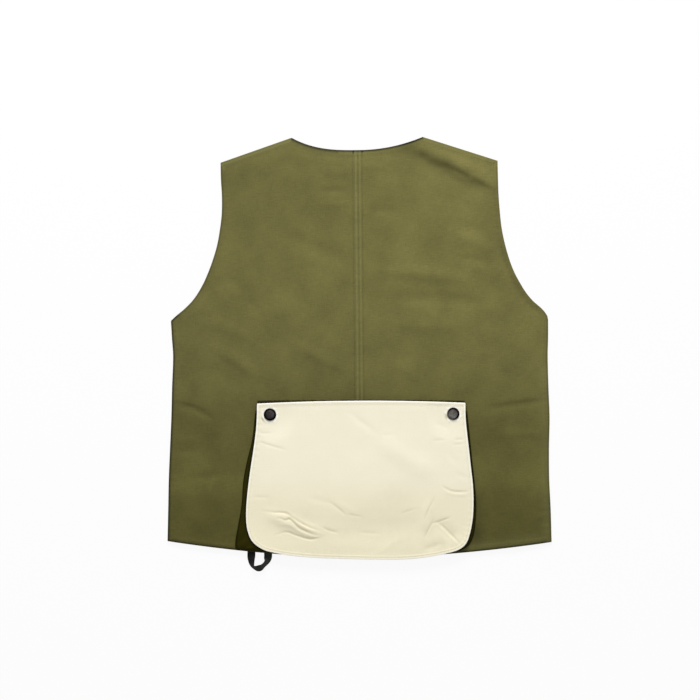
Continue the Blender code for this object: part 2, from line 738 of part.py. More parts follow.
def add_hem_loop(surface):
    path = []
    for index in range(len(LOOP) - 1):
        for step in range(LOOP_STEPS):
            path.append(loop_point(index, step / LOOP_STEPS))
    path.append(LOOP[-1])
    points = []
    for index, here in enumerate(path):
        before = path[max(index - 1, 0)]
        after = path[min(index + 1, len(path) - 1)]
        run = math.hypot(after.x - before.x, after.y - before.y)
        inward = ((before.y - after.y) / run, (after.x - before.x) / run)
        tip = math.radians(here.tip)
        wide = (inward[0] * math.cos(tip), inward[1] * math.cos(tip), math.sin(tip))
        thick = (-inward[0] * math.sin(tip), -inward[1] * math.sin(tip), math.cos(tip))
        for across, up in ((-1, -1), (1, -1), (1, 1), (-1, 1)):
            points.append(tuple(
                (here.x, here.y, here.z)[axis]
                + wide[axis] * across * TAPE_WIDTH / 2.0
                + thick[axis] * up * TAPE_THICKNESS / 2.0
                for axis in range(3)
            ))
    faces = []
    for section in range(len(path) - 1):
        start = 4 * section
        for corner in range(4):
            following = (corner + 1) % 4
            faces.append((
                start + corner, start + following, start + 4 + following, start + 4 + corner,
            ))
    faces.append((3, 2, 1, 0))
    last = 4 * (len(path) - 1)
    faces.append((last, last + 1, last + 2, last + 3))
    return add_object("hem_loop", points, faces, surface)


def build():
    for old in list(bpy.data.objects):
        bpy.data.objects.remove(old, do_unlink=True)
    olive = material("olive_cloth", OLIVE, 0.9, 0.0)
    cream = material("cream_cloth", CREAM, 0.85, 0.0)
    metal = material("gunmetal", GUNMETAL, 0.4, 0.9)
    tape = material("black_tape", BLACK_TAPE, 0.8, 0.0)
    add_front_half("front_left", -1, olive)
    add_front_half("front_right", 1, olive)
    add_back_half("back_left", -1, olive)
    add_back_half("back_right", 1, olive)
    add_pouch_panel(cream)
    add_pouch_gusset(olive)
    add_snap("left", SNAP_LEFT, metal)
    add_snap("right", SNAP_RIGHT, metal)
    add_hem_loop(tape)


build()
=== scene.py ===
# Hunting vest in olive canvas, laid flat with its back up, with a cream game pouch
# on the lower back. Lengths in the tables are in millimetres, seen from above:
# x to the right, y from the hem to the neck, z up off the table.
import math

import bmesh
import bpy
import numpy as np
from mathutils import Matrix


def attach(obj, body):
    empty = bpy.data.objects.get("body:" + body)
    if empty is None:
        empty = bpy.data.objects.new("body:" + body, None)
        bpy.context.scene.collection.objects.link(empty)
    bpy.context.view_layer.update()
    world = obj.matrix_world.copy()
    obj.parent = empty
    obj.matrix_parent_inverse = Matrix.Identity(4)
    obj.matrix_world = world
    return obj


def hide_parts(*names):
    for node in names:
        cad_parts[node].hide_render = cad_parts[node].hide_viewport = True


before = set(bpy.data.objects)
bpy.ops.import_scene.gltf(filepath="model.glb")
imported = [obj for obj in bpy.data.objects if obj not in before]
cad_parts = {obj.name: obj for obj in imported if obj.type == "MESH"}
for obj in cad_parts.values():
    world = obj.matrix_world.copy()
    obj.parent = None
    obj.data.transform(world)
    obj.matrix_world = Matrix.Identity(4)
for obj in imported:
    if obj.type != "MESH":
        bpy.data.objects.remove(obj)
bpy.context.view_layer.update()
mm = 0.001
print("frame loaded:", len(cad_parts), "nodes")


# Small helpers

class Settings(dict):
    # a dictionary whose entries can also be read by name

    __getattr__ = dict.__getitem__


def ease(value):
    value = np.clip(value, 0, 1)
    return value * value * (3 - 2 * value)


def mix(start, end, share):
    return start + (end - start) * share


def hump(distance, width):
    return np.exp(-((distance / width) ** 2))


def readTable(table, at):
    # smooth curve through the pairs of a table
    keys, values = (np.array(column, float) for column in zip(*table))
    last = len(keys) - 1
    low = np.maximum(np.arange(last + 1) - 1, 0)
    high = np.minimum(np.arange(last + 1) + 1, last)
    slopes = (values[high] - values[low]) / (keys[high] - keys[low])
    at = np.clip(at, keys[0], keys[-1])
    index = np.clip(np.searchsorted(keys, at, side="right") - 1, 0, last - 1)
    span = keys[index + 1] - keys[index]
    share = (at - keys[index]) / span
    square = share * share
    cube = square * share
    return (
        (2 * cube - 3 * square + 1) * values[index]
        + (cube - 2 * square + share) * slopes[index] * span
        + (3 * square - 2 * cube) * values[index + 1]
        + (cube - square) * slopes[index + 1] * span
    )


def smoothPath(points, steps=8):
    # rounded curve through given points
    given = np.array(points, float)
    given = np.vstack([2 * given[0] - given[1], given, 2 * given[-1] - given[-2]])
    made = []
    for a, b, c, d in zip(given, given[1:], given[2:], given[3:]):
        for t in np.arange(steps) / steps:
            made.append(0.5 * (
                2 * b + (c - a) * t + (2 * a - 5 * b + 4 * c - d) * t ** 2
                + (3 * b - a - 3 * c + d) * t ** 3
            ))
    made.append(given[-2])
    return np.array(made)


def creaseField(creases, x, y):
    # height of ridges and troughs; the first width is on the left of the path's direction
    total = np.zeros(x.shape)
    for height, leftWidth, rightWidth, *points in creases:
        path = smoothPath(np.reshape(points, (-1, 2)))
        reach = 2.6 * max(leftWidth, rightWidth)
        low = path.min(axis=0) - reach
        high = path.max(axis=0) + reach
        near = np.nonzero((x > low[0]) & (x < high[0]) & (y > low[1]) & (y < high[1]))
        start = path[:-1]
        run = path[1:] - start
        offX = x[near][:, None] - start[:, 0]
        offY = y[near][:, None] - start[:, 1]
        length = (run ** 2).sum(axis=1)
        along = np.clip((offX * run[:, 0] + offY * run[:, 1]) / length, 0, 1)
        square = (offX - along * run[:, 0]) ** 2 + (offY - along * run[:, 1]) ** 2
        best = square.argmin(axis=1)
        row = np.arange(len(best))
        side = run[best, 0] * offY[row, best] - run[best, 1] * offX[row, best]
        share = (best + along[row, best]) / len(start)
        fade = ease(share / 0.35) * ease((1 - share) / 0.35)
        uneven = 0.88 + 0.12 * np.sin(7 * share + 3 * height)
        width = np.where(side > 0, leftWidth, rightWidth)
        total[near] += height * fade * uneven * np.exp(-square[row, best] / width ** 2)
    return total


def handLaid(x, y, longest, seed):
    # faint unevenness of unpressed cloth, between -1 and 1
    chance = np.random.default_rng(seed)
    total = np.zeros(x.shape)
    for _ in range(9):
        turn = chance.uniform(0, math.pi)
        wave = 2 * math.pi / (longest * chance.uniform(0.35, 1))
        start = chance.uniform(0, 2 * math.pi)
        total += np.sin((x * math.cos(turn) + y * math.sin(turn)) * wave + start)
    return total / 5


def stepShares(length, pitch, fine=None, atStart=True, atEnd=True, near=None):
    # grid steps over a length, finer at its hemmed ends and near one place between
    place = np.linspace(0, length, 3000)
    density = np.full(place.shape, 1 / pitch)
    extra = 1 / (fine or pitch) - 1 / pitch
    if near is not None:
        density += extra * hump(place - near, 6)
    if atStart:
        density += extra * hump(place, 7)
    if atEnd:
        density += extra * hump(length - place, 7)
    count = np.concatenate([[0], np.cumsum(density[1:] * np.diff(place))])
    steps = max(2, int(round(count[-1])))
    return np.interp(np.linspace(0, count[-1], steps + 1), count, place) / length


def alongLine(line):
    # how far along a line each of its points lies
    return np.concatenate([[0], np.cumsum(np.linalg.norm(np.diff(line, axis=0), axis=1))])


def leftOf(line):
    # unit steps to the left of a line's direction
    run = np.gradient(line[:, :2], axis=0)
    run /= np.hypot(*run.T)[:, None]
    return np.column_stack([-run[:, 1], run[:, 0]])


def resampled(line, pitch):
    # points a set distance apart along a line, and how far along it each one lies
    line = np.array(line, float)
    gone = alongLine(line[:, :2])
    steps = max(2, int(round(gone[-1] / pitch)))
    at = np.linspace(0, gone[-1], steps + 1)
    return np.stack([np.interp(at, gone, column) for column in line.T], axis=1), at


def nearestOn(line, x, y):
    # distance to a line, and the place along it that is nearest
    points, gone = resampled(line, 1)
    flatX, flatY = x.ravel(), y.ravel()
    distance, place = np.empty(flatX.shape), np.empty(flatX.shape)
    for start in range(0, len(flatX), 2000):
        part = slice(start, start + 2000)
        square = (flatX[part, None] - points[:, 0]) ** 2 + (flatY[part, None] - points[:, 1]) ** 2
        best = square.argmin(axis=1)
        distance[part] = np.sqrt(square[np.arange(len(best)), best])
        place[part] = gone[best]
    return distance.reshape(x.shape), place.reshape(x.shape)


def insetLine(line, inset, trim):
    # the same line moved to its left, for a row of stitches inside an edge
    points, _ = resampled(line, 2)
    moved = points[:, :2] + leftOf(points) * inset
    skip = int(trim / 2)
    return moved[skip:len(moved) - skip]


def addObject(name, data):
    made = bpy.data.objects.new(name, data)
    bpy.context.scene.collection.objects.link(made)
    return made


def addMesh(name, points, faces, surface, marks=None):
    # smooth mesh with its faces outwards; marks are numbers kept on the points
    mesh = bpy.data.meshes.new(name)
    mesh.from_pydata((np.asarray(points) * mm).tolist(), [], faces)
    work = bmesh.new()
    work.from_mesh(mesh)
    bmesh.ops.recalc_face_normals(work, faces=work.faces)
    work.to_mesh(mesh)
    work.free()
    for label, values in (marks or {}).items():
        mesh.attributes.new(label, "FLOAT", "POINT").data.foreach_set("value", np.ravel(values))
    mesh.shade_smooth()
    mesh.materials.append(surface)
    return addObject(name, mesh)


def rimOf(grid):
    # the outermost entries of a grid, in order round it
    return np.concatenate([grid[0], grid[1:, -1], grid[-1, -2::-1], grid[-2:0:-1, 0]])


def areaIn(ring):
    # area inside a ring, negative where it turns to the right
    ahead = np.roll(ring, -1, axis=0)
    return np.sum(ring[:, 0] * ahead[:, 1] - ahead[:, 0] * ring[:, 1]) / 2


def addShell(name, over, under, surface, marks, bulge):
    # closed cloth between two grids of points, its edge rounded like a turned hem
    count = over.shape[0] * over.shape[1]
    index = np.arange(count).reshape(over.shape[:2])
    rim = rimOf(index)
    upper = over.reshape(-1, 3)
    lower = under.reshape(-1, 3)
    ring = upper[rim]
    run = (np.roll(ring, -1, axis=0) - np.roll(ring, 1, axis=0))[:, :2]
    run /= np.maximum(np.hypot(*run.T), 1e-6)[:, None]
    out = np.column_stack([run[:, 1], -run[:, 0]]) * np.sign(areaIn(ring))
    middle = (ring[:, 2] + lower[rim, 2]) / 2
    half = (ring[:, 2] - lower[rim, 2]) / 2
    points = [upper, lower]
    for angle in np.radians((45, 90, 135)):
        away = bulge * math.sin(angle)
        points.append(np.column_stack([ring[:, :2] + out * away, middle + half * math.cos(angle)]))
    corners = [index[:-1, :-1], index[:-1, 1:], index[1:, 1:], index[1:, :-1]]
    quads = np.stack(corners, axis=-1).reshape(-1, 4)
    faces = quads.tolist() + (quads[:, ::-1] + count).tolist()
    chains = [rim, *(2 * count + np.arange(3 * len(rim)).reshape(3, -1)), rim + count]
    for above, below in zip(chains, chains[1:]):
        faces += np.stack([above, below, np.roll(below, -1), np.roll(above, -1)], axis=1).tolist()
    allMarks = {
        label: np.concatenate([values.ravel()] * 2 + [values.ravel()[rim]] * 3)
        for label, values in marks.items()
    }
    return addMesh(name, np.vstack(points), faces, surface, allMarks)


def cutOf(plan):
    # flat size and area of a cloth piece, in metres
    return {
        "flat": tuple(float(np.ptp(plan[..., axis])) * mm for axis in (0, 1)),
        "area": abs(areaIn(rimOf(plan))) * mm * mm,
    }


# Shader helpers

def maths(kind, turned=False):
    # a method of Wire that adds one Math node
    def method(self, other=0):
        first, second = (other, self) if turned else (self, other)
        return self.paint.node("ShaderNodeMath", {"operation": kind}, {0: first, 1: second})
    return method


class Wire:
    # an output of a shader tree; sums on it add Math nodes

    def __init__(self, paint, socket):
        self.paint = paint
        self.socket = socket

    __add__ = maths("ADD")
    __radd__ = maths("ADD", turned=True)
    __sub__ = maths("SUBTRACT")
    __rsub__ = maths("SUBTRACT", turned=True)
    __mul__ = maths("MULTIPLY")
    __rmul__ = maths("MULTIPLY", turned=True)
    __truediv__ = maths("DIVIDE")
    __pow__ = maths("POWER")
    sine = maths("SINE")
    size = maths("ABSOLUTE")


class Paint:
    # one material, built node by node

    def __init__(self, name):
        self.material = bpy.data.materials.new(name)
        self.material.use_nodes = True
        self.tree = self.material.node_tree

    def dressed(self, values):
        # the material, its Principled sockets set or linked
        for label, value in values.items():
            self.feed(self.tree.nodes["Principled BSDF"].inputs[label], value)
        return self.material

    def node(self, kind, settings=None, sockets=None, output=0):
        made = self.tree.nodes.new(kind)
        for label, value in (settings or {}).items():
            if label == "stops":
                ramp = made.color_ramp
                ramp.interpolation = "EASE"
                while len(ramp.elements) < len(value):
                    ramp.elements.new(0.5)
                for element, (position, colour) in zip(ramp.elements, value):
                    element.position = position
                    element.color = (*colour, 1)
            else:
                setattr(made, label, value)
        for label, value in (sockets or {}).items():
            self.feed(made.inputs[label], value)
        return Wire(self, made.outputs[output])

    def feed(self, socket, value):
        if isinstance(value, Wire):
            self.tree.links.new(value.socket, socket)
        else:
            socket.default_value = value

    def axis(self, index):
        place = self.node("ShaderNodeTexCoord", output=3)
        return self.node("ShaderNodeSeparateXYZ", None, {0: place}, index)

    def mark(self, label):
        return self.node("ShaderNodeAttribute", {"attribute_name": label}, None, 2)

    def streaks(self, *scale, detail=2):
        place = self.node("ShaderNodeTexCoord", output=3)
        stretched = self.node("ShaderNodeMapping", None, {0: place, 3: scale})
        return self.node("ShaderNodeTexNoise", None, {
            "Vector": stretched, "Scale": 1, "Detail": detail, "Roughness": 0.5,
        })

    def weave(self, thread):
        # plain weave: warp and weft floats that take turns on top
        loose = self.streaks(160, 160, 160) * 0.9
        turn = math.pi / (thread * mm)
        return (self.axis(0) * turn + loose).sine() * (self.axis(1) * turn + loose).sine()

    def blend(self, kind, share, *pair):
        first, second = ((*colour, 1) if isinstance(colour, tuple) else colour for colour in pair)
        settings = {"data_type": "RGBA", "blend_type": kind}
        return self.node("ShaderNodeMix", settings, {0: share, 6: first, 7: second}, 2)

    def scaled(self, colour, share):
        return self.node("ShaderNodeVectorMath", {"operation": "SCALE"}, {0: colour, "Scale": share})

    def bump(self, height, distance, strength):
        sockets = {"Height": height, "Distance": distance, "Strength": strength}
        return self.node("ShaderNodeBump", None, sockets)


# Materials

canvas = Settings(
    low=-0.3, high=0.315,   # metres between which the cloth's tone changes
    olive=Settings(
        thread=0.62,           # one yarn of the canvas
        light=(0.201, 0.183, 0.0555), dark=(0.085, 0.077, 0.0232),
        # fade: painted shade, the olive darker towards the hem where the light falls off, and a little less
        # blue there
        fade=(
            (0, (0.56, 0.56, 0.43)), (0.12, (0.6, 0.6, 0.485)), (0.19, (0.77, 0.78, 0.68)),
            (0.29, (0.7, 0.7, 0.63)), (0.49, (0.905,) * 3), (0.62, (0.98,) * 3), (1, (0.91,) * 3)),
        # lean: painted light, paler to the right as if lit more from that side
        lean=1,              # how much paler to the right, more so higher up
        # worn: colour of the painted highlights, shaded: colour of the painted shade
        shaded=(0.008, 0.008, 0.002), worn=(0.225, 0.225, 0.085), gloss=0.14, sheen=0.05,
    ),
    # bellows: the same olive cloth, painted far darker as the shade it lies in
    bellows=Settings(
        thread=0.62,
        light=(0.033, 0.029, 0.0026), dark=(0.017, 0.015, 0.0012),
        fade=((0, (1,) * 3), (1, (0.8,) * 3)), lean=0,
        shaded=(0.003, 0.003, 0.001), worn=(0.05, 0.045, 0.01), gloss=0.04, sheen=0,
    ),
    cream=Settings(
        thread=0.5,
        light=(0.935, 0.882, 0.7), dark=(0.88, 0.826, 0.645),
        # fade: painted light and shade, the cream paler at its bottom edge and darker in a band above it,
        # yellower low down
        fade=(
            (0, (1, 0.985, 0.92)), (0.04, (0.995, 0.98, 0.91)), (0.11, (0.925, 0.91, 0.855)),
            (0.22, (0.945, 0.945, 0.945)), (0.36, (0.925,) * 3), (1, (0.925,) * 3)),
        lean=0,
        # worn: colour of the painted highlights on the panel's edge and round the caps
        shaded=(0.4, 0.34, 0.2), worn=(0.98, 0.965, 0.88), gloss=0.14, sheen=0.05,
    ),
)


def canvasPaint(name, cloth):
    paint = Paint(name)
    cells = paint.weave(cloth.thread)
    weft = paint.streaks(80, 900, 200)
    warp = paint.streaks(900, 80, 200)
    slub = paint.streaks(420, 620, 300)
    cloud = paint.streaks(22, 22, 22, detail=3)
    tone = weft * 0.45 + warp * 0.32 + slub * 0.36 + cloud * 0.75 + cells * 0.08 - 0.44
    colour = paint.blend("MIX", tone, cloth.dark, cloth.light)
    # painted light and shade: fade changes the tone from hem to neck, lean makes it paler to the right
    height = (paint.axis(1) - canvas.low) / (canvas.high - canvas.low)
    fade = paint.node("ShaderNodeValToRGB", {"stops": cloth.fade}, {0: height})
    colour = paint.blend("MULTIPLY", 1, colour, fade)
    colour = paint.scaled(colour, paint.axis(0) * (height - 0.2) * cloth.lean + 1)
    # painted highlight, then painted shade, from the marks on the mesh
    colour = paint.blend("MIX", paint.mark("worn"), colour, cloth.worn)
    colour = paint.blend("MIX", paint.mark("shade"), colour, cloth.shaded)
    relief = (cells.size() ** 0.6) * 0.6 + weft * 0.5 + warp * 0.5
    return paint.dressed({
        "Specular IOR Level": cloth.gloss, "Sheen Weight": cloth.sheen, "Sheen Roughness": 0.6,
        "Base Color": colour, "Roughness": 0.84 + warp * 0.14, "Normal": paint.bump(relief, 0.00035, 0.5),
    })


def threadPaint(name, colour):
    paint = Paint(name)
    twist = paint.streaks(1400, 1400, 1400)
    darker = tuple(0.7 * part for part in colour)
    return paint.dressed({
        "Base Color": paint.blend("MIX", twist, darker, colour), "Roughness": 0.6 + twist * 0.3,
    })


def tapePaint(name):
    # ribbed tape, its ribs and picks read from the tape's own map
    paint = Paint(name)
    across = paint.mark("across")
    pick = (paint.mark("along") * (math.pi / 0.55)).sine().size()
    rib = (across * (math.pi * tape.ribs)).sine().size()
    fuzz = paint.streaks(700, 700, 700)
    edge = (across - 0.5).size() * 2
    tone = (rib * 0.45 + pick * 0.25 + fuzz * 0.4) * paint.mark("lit") * (1 - edge * edge * 0.75)
    return paint.dressed({
        "Specular IOR Level": 0.2, "Roughness": 0.9 - rib * 0.15,
        "Base Color": paint.blend("MIX", tone, (0.001, 0.0012, 0.001), (0.035, 0.04, 0.028)),
        "Normal": paint.bump(pick + fuzz, 0.0002, 0.5),
    })


def capPaint(name):
    # blackened metal, its face paler with a painted reflection and its rim darkest with painted shade
    paint = Paint(name)
    cloud = paint.streaks(300, 300, 300, detail=4) * 2.5 - 0.75
    scratch = paint.streaks(1800, 300, 900)
    rim = paint.mark("shade")
    plain = paint.blend("MIX", paint.mark("worn"), (0.045, 0.034, 0.04), (0.3, 0.282, 0.248))
    mottled = paint.blend("MULTIPLY", cloud, plain, (0.5, 0.48, 0.52))
    return paint.dressed({
        "Specular IOR Level": 0.02, "Metallic": 0.85 - rim * 0.85, "Roughness": 0.3 + scratch * 0.28,
        "Base Color": paint.blend("MIX", rim, mottled, (0.004, 0.003, 0.003)),
        "Normal": paint.bump(scratch, 0.00008, 0.35),
    })


oliveCanvas = canvasPaint("oliveCanvas", canvas.olive)
shadedBellowsCanvas = canvasPaint("shadedBellowsCanvas", canvas.bellows)
creamCanvas = canvasPaint("creamCanvas", canvas.cream)
oliveThread = threadPaint("oliveThread", (0.12, 0.109, 0.034))
creamThread = threadPaint("creamThread", (0.84, 0.78, 0.61))
gunmetal = capPaint("gunmetal")
print("materials made")


# Stitches: one tree for every row of topstitching

stitching = Settings(
    pitch=3.4,        # from one needle hole to the next
    length=2.9,
    thickness=0.46,
    slant=5,        # degrees that each stitch leans
    lift=0.06,        # middle of the thread over the cloth
)


def stitchTree():
    tree = bpy.data.node_groups.new("rowOfStitches", "GeometryNodeTree")
    kinds = {
        "Geometry": "Geometry", "Pitch": "Float", "Stitch Length": "Float", "Thickness": "Float",
        "Slant": "Float", "Seed": "Int", "Thread": "Material",
    }
    for label, kind in kinds.items():
        tree.interface.new_socket(label, in_out="INPUT", socket_type="NodeSocket" + kind)
    tree.interface.new_socket("Geometry", in_out="OUTPUT", socket_type="NodeSocketGeometry")

    def add(kind, sockets=None, **settings):
        made = tree.nodes.new(kind)
        for label, value in settings.items():
            setattr(made, label, value)
        for label, value in (sockets or {}).items():
            if isinstance(value, bpy.types.NodeSocket):
                tree.links.new(value, made.inputs[label])
            else:
                made.inputs[label].default_value = value
        return made.outputs[0]

    given = tree.nodes.new("NodeGroupInput").outputs
    curve = add("GeometryNodeMeshToCurve", {0: given["Geometry"]})
    stepped = add("GeometryNodeResampleCurve", {"Curve": curve, "Length": given["Pitch"]}, mode="LENGTH")
    ball = add("GeometryNodeMeshUVSphere", {"Segments": 8, "Rings": 4, "Radius": 0.5})
    thick = given["Thickness"]
    size = add("ShaderNodeCombineXYZ", {0: given["Stitch Length"], 1: thick, 2: thick})
    lean = add("ShaderNodeCombineXYZ", {2: given["Slant"]})
    stitch = add("GeometryNodeTransform", {"Geometry": ball, "Scale": size, "Rotation": lean})
    smooth = add("GeometryNodeSetShadeSmooth", {0: stitch})
    turn = "FunctionNodeAlignRotationToVector"
    forward = add(turn, {"Vector": add("GeometryNodeInputTangent")}, axis="X")
    upright = add(turn, {"Rotation": forward, "Vector": (0, 0, 1)}, axis="Z", pivot_axis="X")
    uneven = add("FunctionNodeRandomValue", {
        0: (0.88, 0.9, 0.9), 1: (1.06, 1.1, 1.1), "Seed": given["Seed"],
    }, data_type="FLOAT_VECTOR")
    placed = add("GeometryNodeInstanceOnPoints", {
        "Points": stepped, "Instance": smooth, "Rotation": upright, "Scale": uneven,
    })
    real = add("GeometryNodeRealizeInstances", {0: placed})
    dyed = add("GeometryNodeSetMaterial", {"Geometry": real, "Material": given["Thread"]})
    tree.links.new(dyed, tree.nodes.new("NodeGroupOutput").inputs[0])
    return tree


rowOfStitches = stitchTree()


def addStitches(name, lines, thread, seed):
    # every line is a row of x, y and z; the result is one plain mesh
    points, edges = [], []
    for line in lines:
        first = len(points)
        points += line.tolist()
        edges += [(i, i + 1) for i in range(first, len(points) - 1)]
    mesh = bpy.data.meshes.new(name + "Path")
    mesh.from_pydata((np.array(points) * mm).tolist(), edges, [])
    path = addObject(name + "Path", mesh)
    rows = path.modifiers.new("rows", "NODES")
    rows.node_group = rowOfStitches
    values = {
        "Pitch": stitching.pitch * mm, "Stitch Length": stitching.length * mm,
        "Thickness": stitching.thickness * mm, "Slant": math.radians(stitching.slant),
        "Seed": seed, "Thread": thread,
    }
    for item in rowOfStitches.interface.items_tree:
        if item.in_out == "INPUT" and item.name in values:
            rows[item.identifier] = values[item.name]
    ready = bpy.context.evaluated_depsgraph_get()
    plain = bpy.data.meshes.new_from_object(path.evaluated_get(ready))
    plain.name = name
    bpy.data.objects.remove(path, do_unlink=True)
    return addObject(name, plain)


# Outline of the vest

vest = Settings(
    neckHalf=95, neckDrop=18.5, neckMiddle=-3.3, neckPointY=314,
    neckCurveLeft=2.85, neckCurveRight=2.1, topTilt=1.3,
    shoulderHalf=200.8, shoulderTipY=278.6,
    underarmHalf=273, underarmY=48.5,
    hemHalf=278, hemCornerY=-271.7, hemMiddleY=-295.2, hemCurve=1.75, hemTilt=-0.7,
    seamAtNeck=-3.8, seamLean=0.0087,
    frontTop=1.45, seamTop=3.3, backTop=5, roll=24, wall=1.25, rim=0.5,
    # share of the height above the underarm, how far in the edge lies on the left and right
    armholes=np.array((
        (0, 0, -0.4), (0.03, 7.3, 1.2), (0.07, 18.3, 8.4), (0.12, 29.8, 21.4), (0.17, 38.3, 31.1),
        (0.23, 46.2, 39.8), (0.3, 53.4, 48.4), (0.38, 60.2, 55.6), (0.48, 66.9, 62.2), (0.58, 71, 66.9),
        (0.68, 73.6, 69.5), (0.79, 73.8, 71.4), (0.9, 72.4, 72.3), (1, 71.9, 72.8))),
    # share of the height below the underarm, distance from the middle line on the left and right
    sides=np.array((
        (0, 277.9, 278.5), (0.15, 276.9, 277.1), (0.28, 276.1, 275.1), (0.42, 274.3, 274.7),
        (0.56, 272.4, 275.5), (0.7, 271.3, 273.9), (0.84, 269.8, 272.8), (0.92, 271.5, 273.4),
        (1, 273, 273.4))),
)


def outerEdge(y, side):
    columns = [0, 1 if side < 0 else 2]
    below = (y - vest.hemCornerY) / (vest.underarmY - vest.hemCornerY)
    above = (y - vest.underarmY) / (vest.shoulderTipY - vest.underarmY)
    return np.where(
        y <= vest.underarmY, readTable(vest.sides[:, columns], below),
        vest.underarmHalf - readTable(vest.armholes[:, columns], above))


def topEdge(x):
    reach = x - vest.neckMiddle
    share = np.abs(reach) / vest.neckHalf
    curve = np.where(reach < 0, vest.neckCurveLeft, vest.neckCurveRight)
    neck = vest.neckPointY - vest.neckDrop * (1 - np.minimum(share, 1) ** curve)
    tip = vest.shoulderHalf + np.where(reach < 0, 1, -1) * vest.neckMiddle
    run = (np.abs(reach) - vest.neckHalf) / (tip - vest.neckHalf)
    shoulder = mix(vest.neckPointY, vest.shoulderTipY, run)
    return np.where(share <= 1, neck, shoulder) + vest.topTilt * x / vest.shoulderHalf


def hemEdge(x):
    reach = x / vest.hemHalf
    curve = np.minimum(1, np.abs(reach)) ** vest.hemCurve
    return mix(vest.hemMiddleY, vest.hemCornerY, curve) + vest.hemTilt * reach


def seamX(y):
    return vest.seamAtNeck + (vest.neckPointY - vest.neckDrop - y) * vest.seamLean


# Pouch outline and how high the panel stands over the back

pouch = Settings(
    # share of the side from its corner's bottom end up, then the point there on the left and right
    sides=np.array((
        (0, -122.5, -287.5, 125, -288.6), (0.05, -136.2, -284, 140.7, -284.2),
        (0.1, -147.4, -278, 150.9, -278), (0.15, -155.8, -270, 156.5, -270),
        (0.2, -160.4, -260, 159.7, -260), (0.25, -163, -248.5, 162.3, -248.5),
        (0.32, -163.9, -233, 164.3, -233), (0.4, -163, -213, 165, -213),
        (0.5, -160.4, -188, 164, -188), (0.6, -157, -163, 161.2, -163),
        (0.7, -153.2, -138, 158.5, -138), (0.8, -149.9, -113, 155.6, -113),
        (0.9, -148.4, -92, 153.7, -92), (1, -148.1, -71.7, 153.3, -70.5))),
    # share across, how far the bottom edge bows down
    bottom=(
        (0, 0), (0.08, 3.4), (0.16, 5.5), (0.25, 7), (0.36, 7.9), (0.5, 8.7), (0.65, 9),
        (0.77, 8.4), (0.85, 6.6), (0.93, 3.6), (1, 0)),
    topY=-71, topBow=3.6, rim=0.6,
    middleX=2.5, middleY=-183, halfWidth=168, bottomY=-297, height=229.5,
    cloth=1.5, wall=1.2,
    liftMiddle=((0, 5), (0.12, 7.4), (0.35, 9.2), (0.7, 8.2), (1, 6.8)),
    liftSide=((0, 4.9), (0.12, 5.4), (0.35, 5.2), (0.7, 4.2), (1, 2.8)),
    snaps=((-129.3, -87.4), (135.6, -86.3)),
    snapLift=4.4, snapFlat=13, snapEase=30,
    points=60,    # along each side of the outline
)


def pouchRows(side):
    # one side's table, drawn in by the rim that the rounded edge adds
    rows = pouch.sides[:, [0, 1, 2] if side < 0 else [0, 3, 4]]
    middle = (pouch.middleX, pouch.middleY)
    rows[:, 1:] += (middle - rows[:, 1:]) * pouch.rim / (pouch.halfWidth, pouch.height / 2)
    return rows


pouchTables = {-1: pouchRows(-1), 1: pouchRows(1)}


def pouchEdgeX(y, side):
    return readTable(pouchTables[side][:, [2, 1]], y)


def pouchSide(share, side):
    rows = pouchTables[side]
    return readTable(rows[:, [0, 1]], share), readTable(rows[:, [0, 2]], share)


def pouchPoint(across, share):
    leftX, leftY = pouchSide(share, -1)
    rightX, rightY = pouchSide(share, 1)
    topBow = pouch.topBow * (1 - (2 * across - 1) ** 2)
    bow = mix(-readTable(pouch.bottom, across), topBow, ease(share))
    return mix(leftX, rightX, across), mix(leftY, rightY, across) + bow


def pouchOutline():
    # panel's edge from its top left corner round the bottom to the top right
    run = np.linspace(1, 0, pouch.points)
    left = np.column_stack(pouchSide(run, -1))
    bottom = np.column_stack(pouchPoint(np.linspace(0, 1, pouch.points), 0))
    right = np.column_stack(pouchSide(run[::-1], 1))
    return np.vstack([left, bottom[1:-1], right])


def pouchMouth():
    return np.column_stack(pouchPoint(np.linspace(1, 0, pouch.points), 1))


# Largest forms of the pouch, the same as its solid's: height, widths, path
pouchForms = (
    (2, 9, 9, -145, -228, -95, -246, -45, -264),
    (1, 14, 14, 18, -119, 71, -150, 124, -182),
    (-1.4, 8, 8, 110, -237, 127, -254, 144, -271),
    (1.1, 9, 9, 102, -206, 97.5, -235, 93, -264),
)


def pouchLift(x, y):
    share = (y - pouch.bottomY) / pouch.height
    across = np.minimum(1, np.abs(x - pouch.middleX) / pouch.halfWidth)
    margin = np.minimum(x - pouchEdgeX(y, -1), pouchEdgeX(y, 1) - x)
    margin = np.minimum(margin, np.minimum(y - pouch.bottomY, pouch.topY - y))
    side = readTable(pouch.liftSide, share)
    middle = readTable(pouch.liftMiddle, share)
    lift = mix(side, middle, 1 - across ** 3)
    lift = lift + creaseField(pouchForms, x, y) * ease(margin / 16)
    for snapX, snapY in pouch.snaps:
        away = np.hypot(x - snapX, y - snapY) - pouch.snapFlat
        lift = mix(pouch.snapLift, lift, ease(away / pouch.snapEase))
    return lift


# Back of the vest

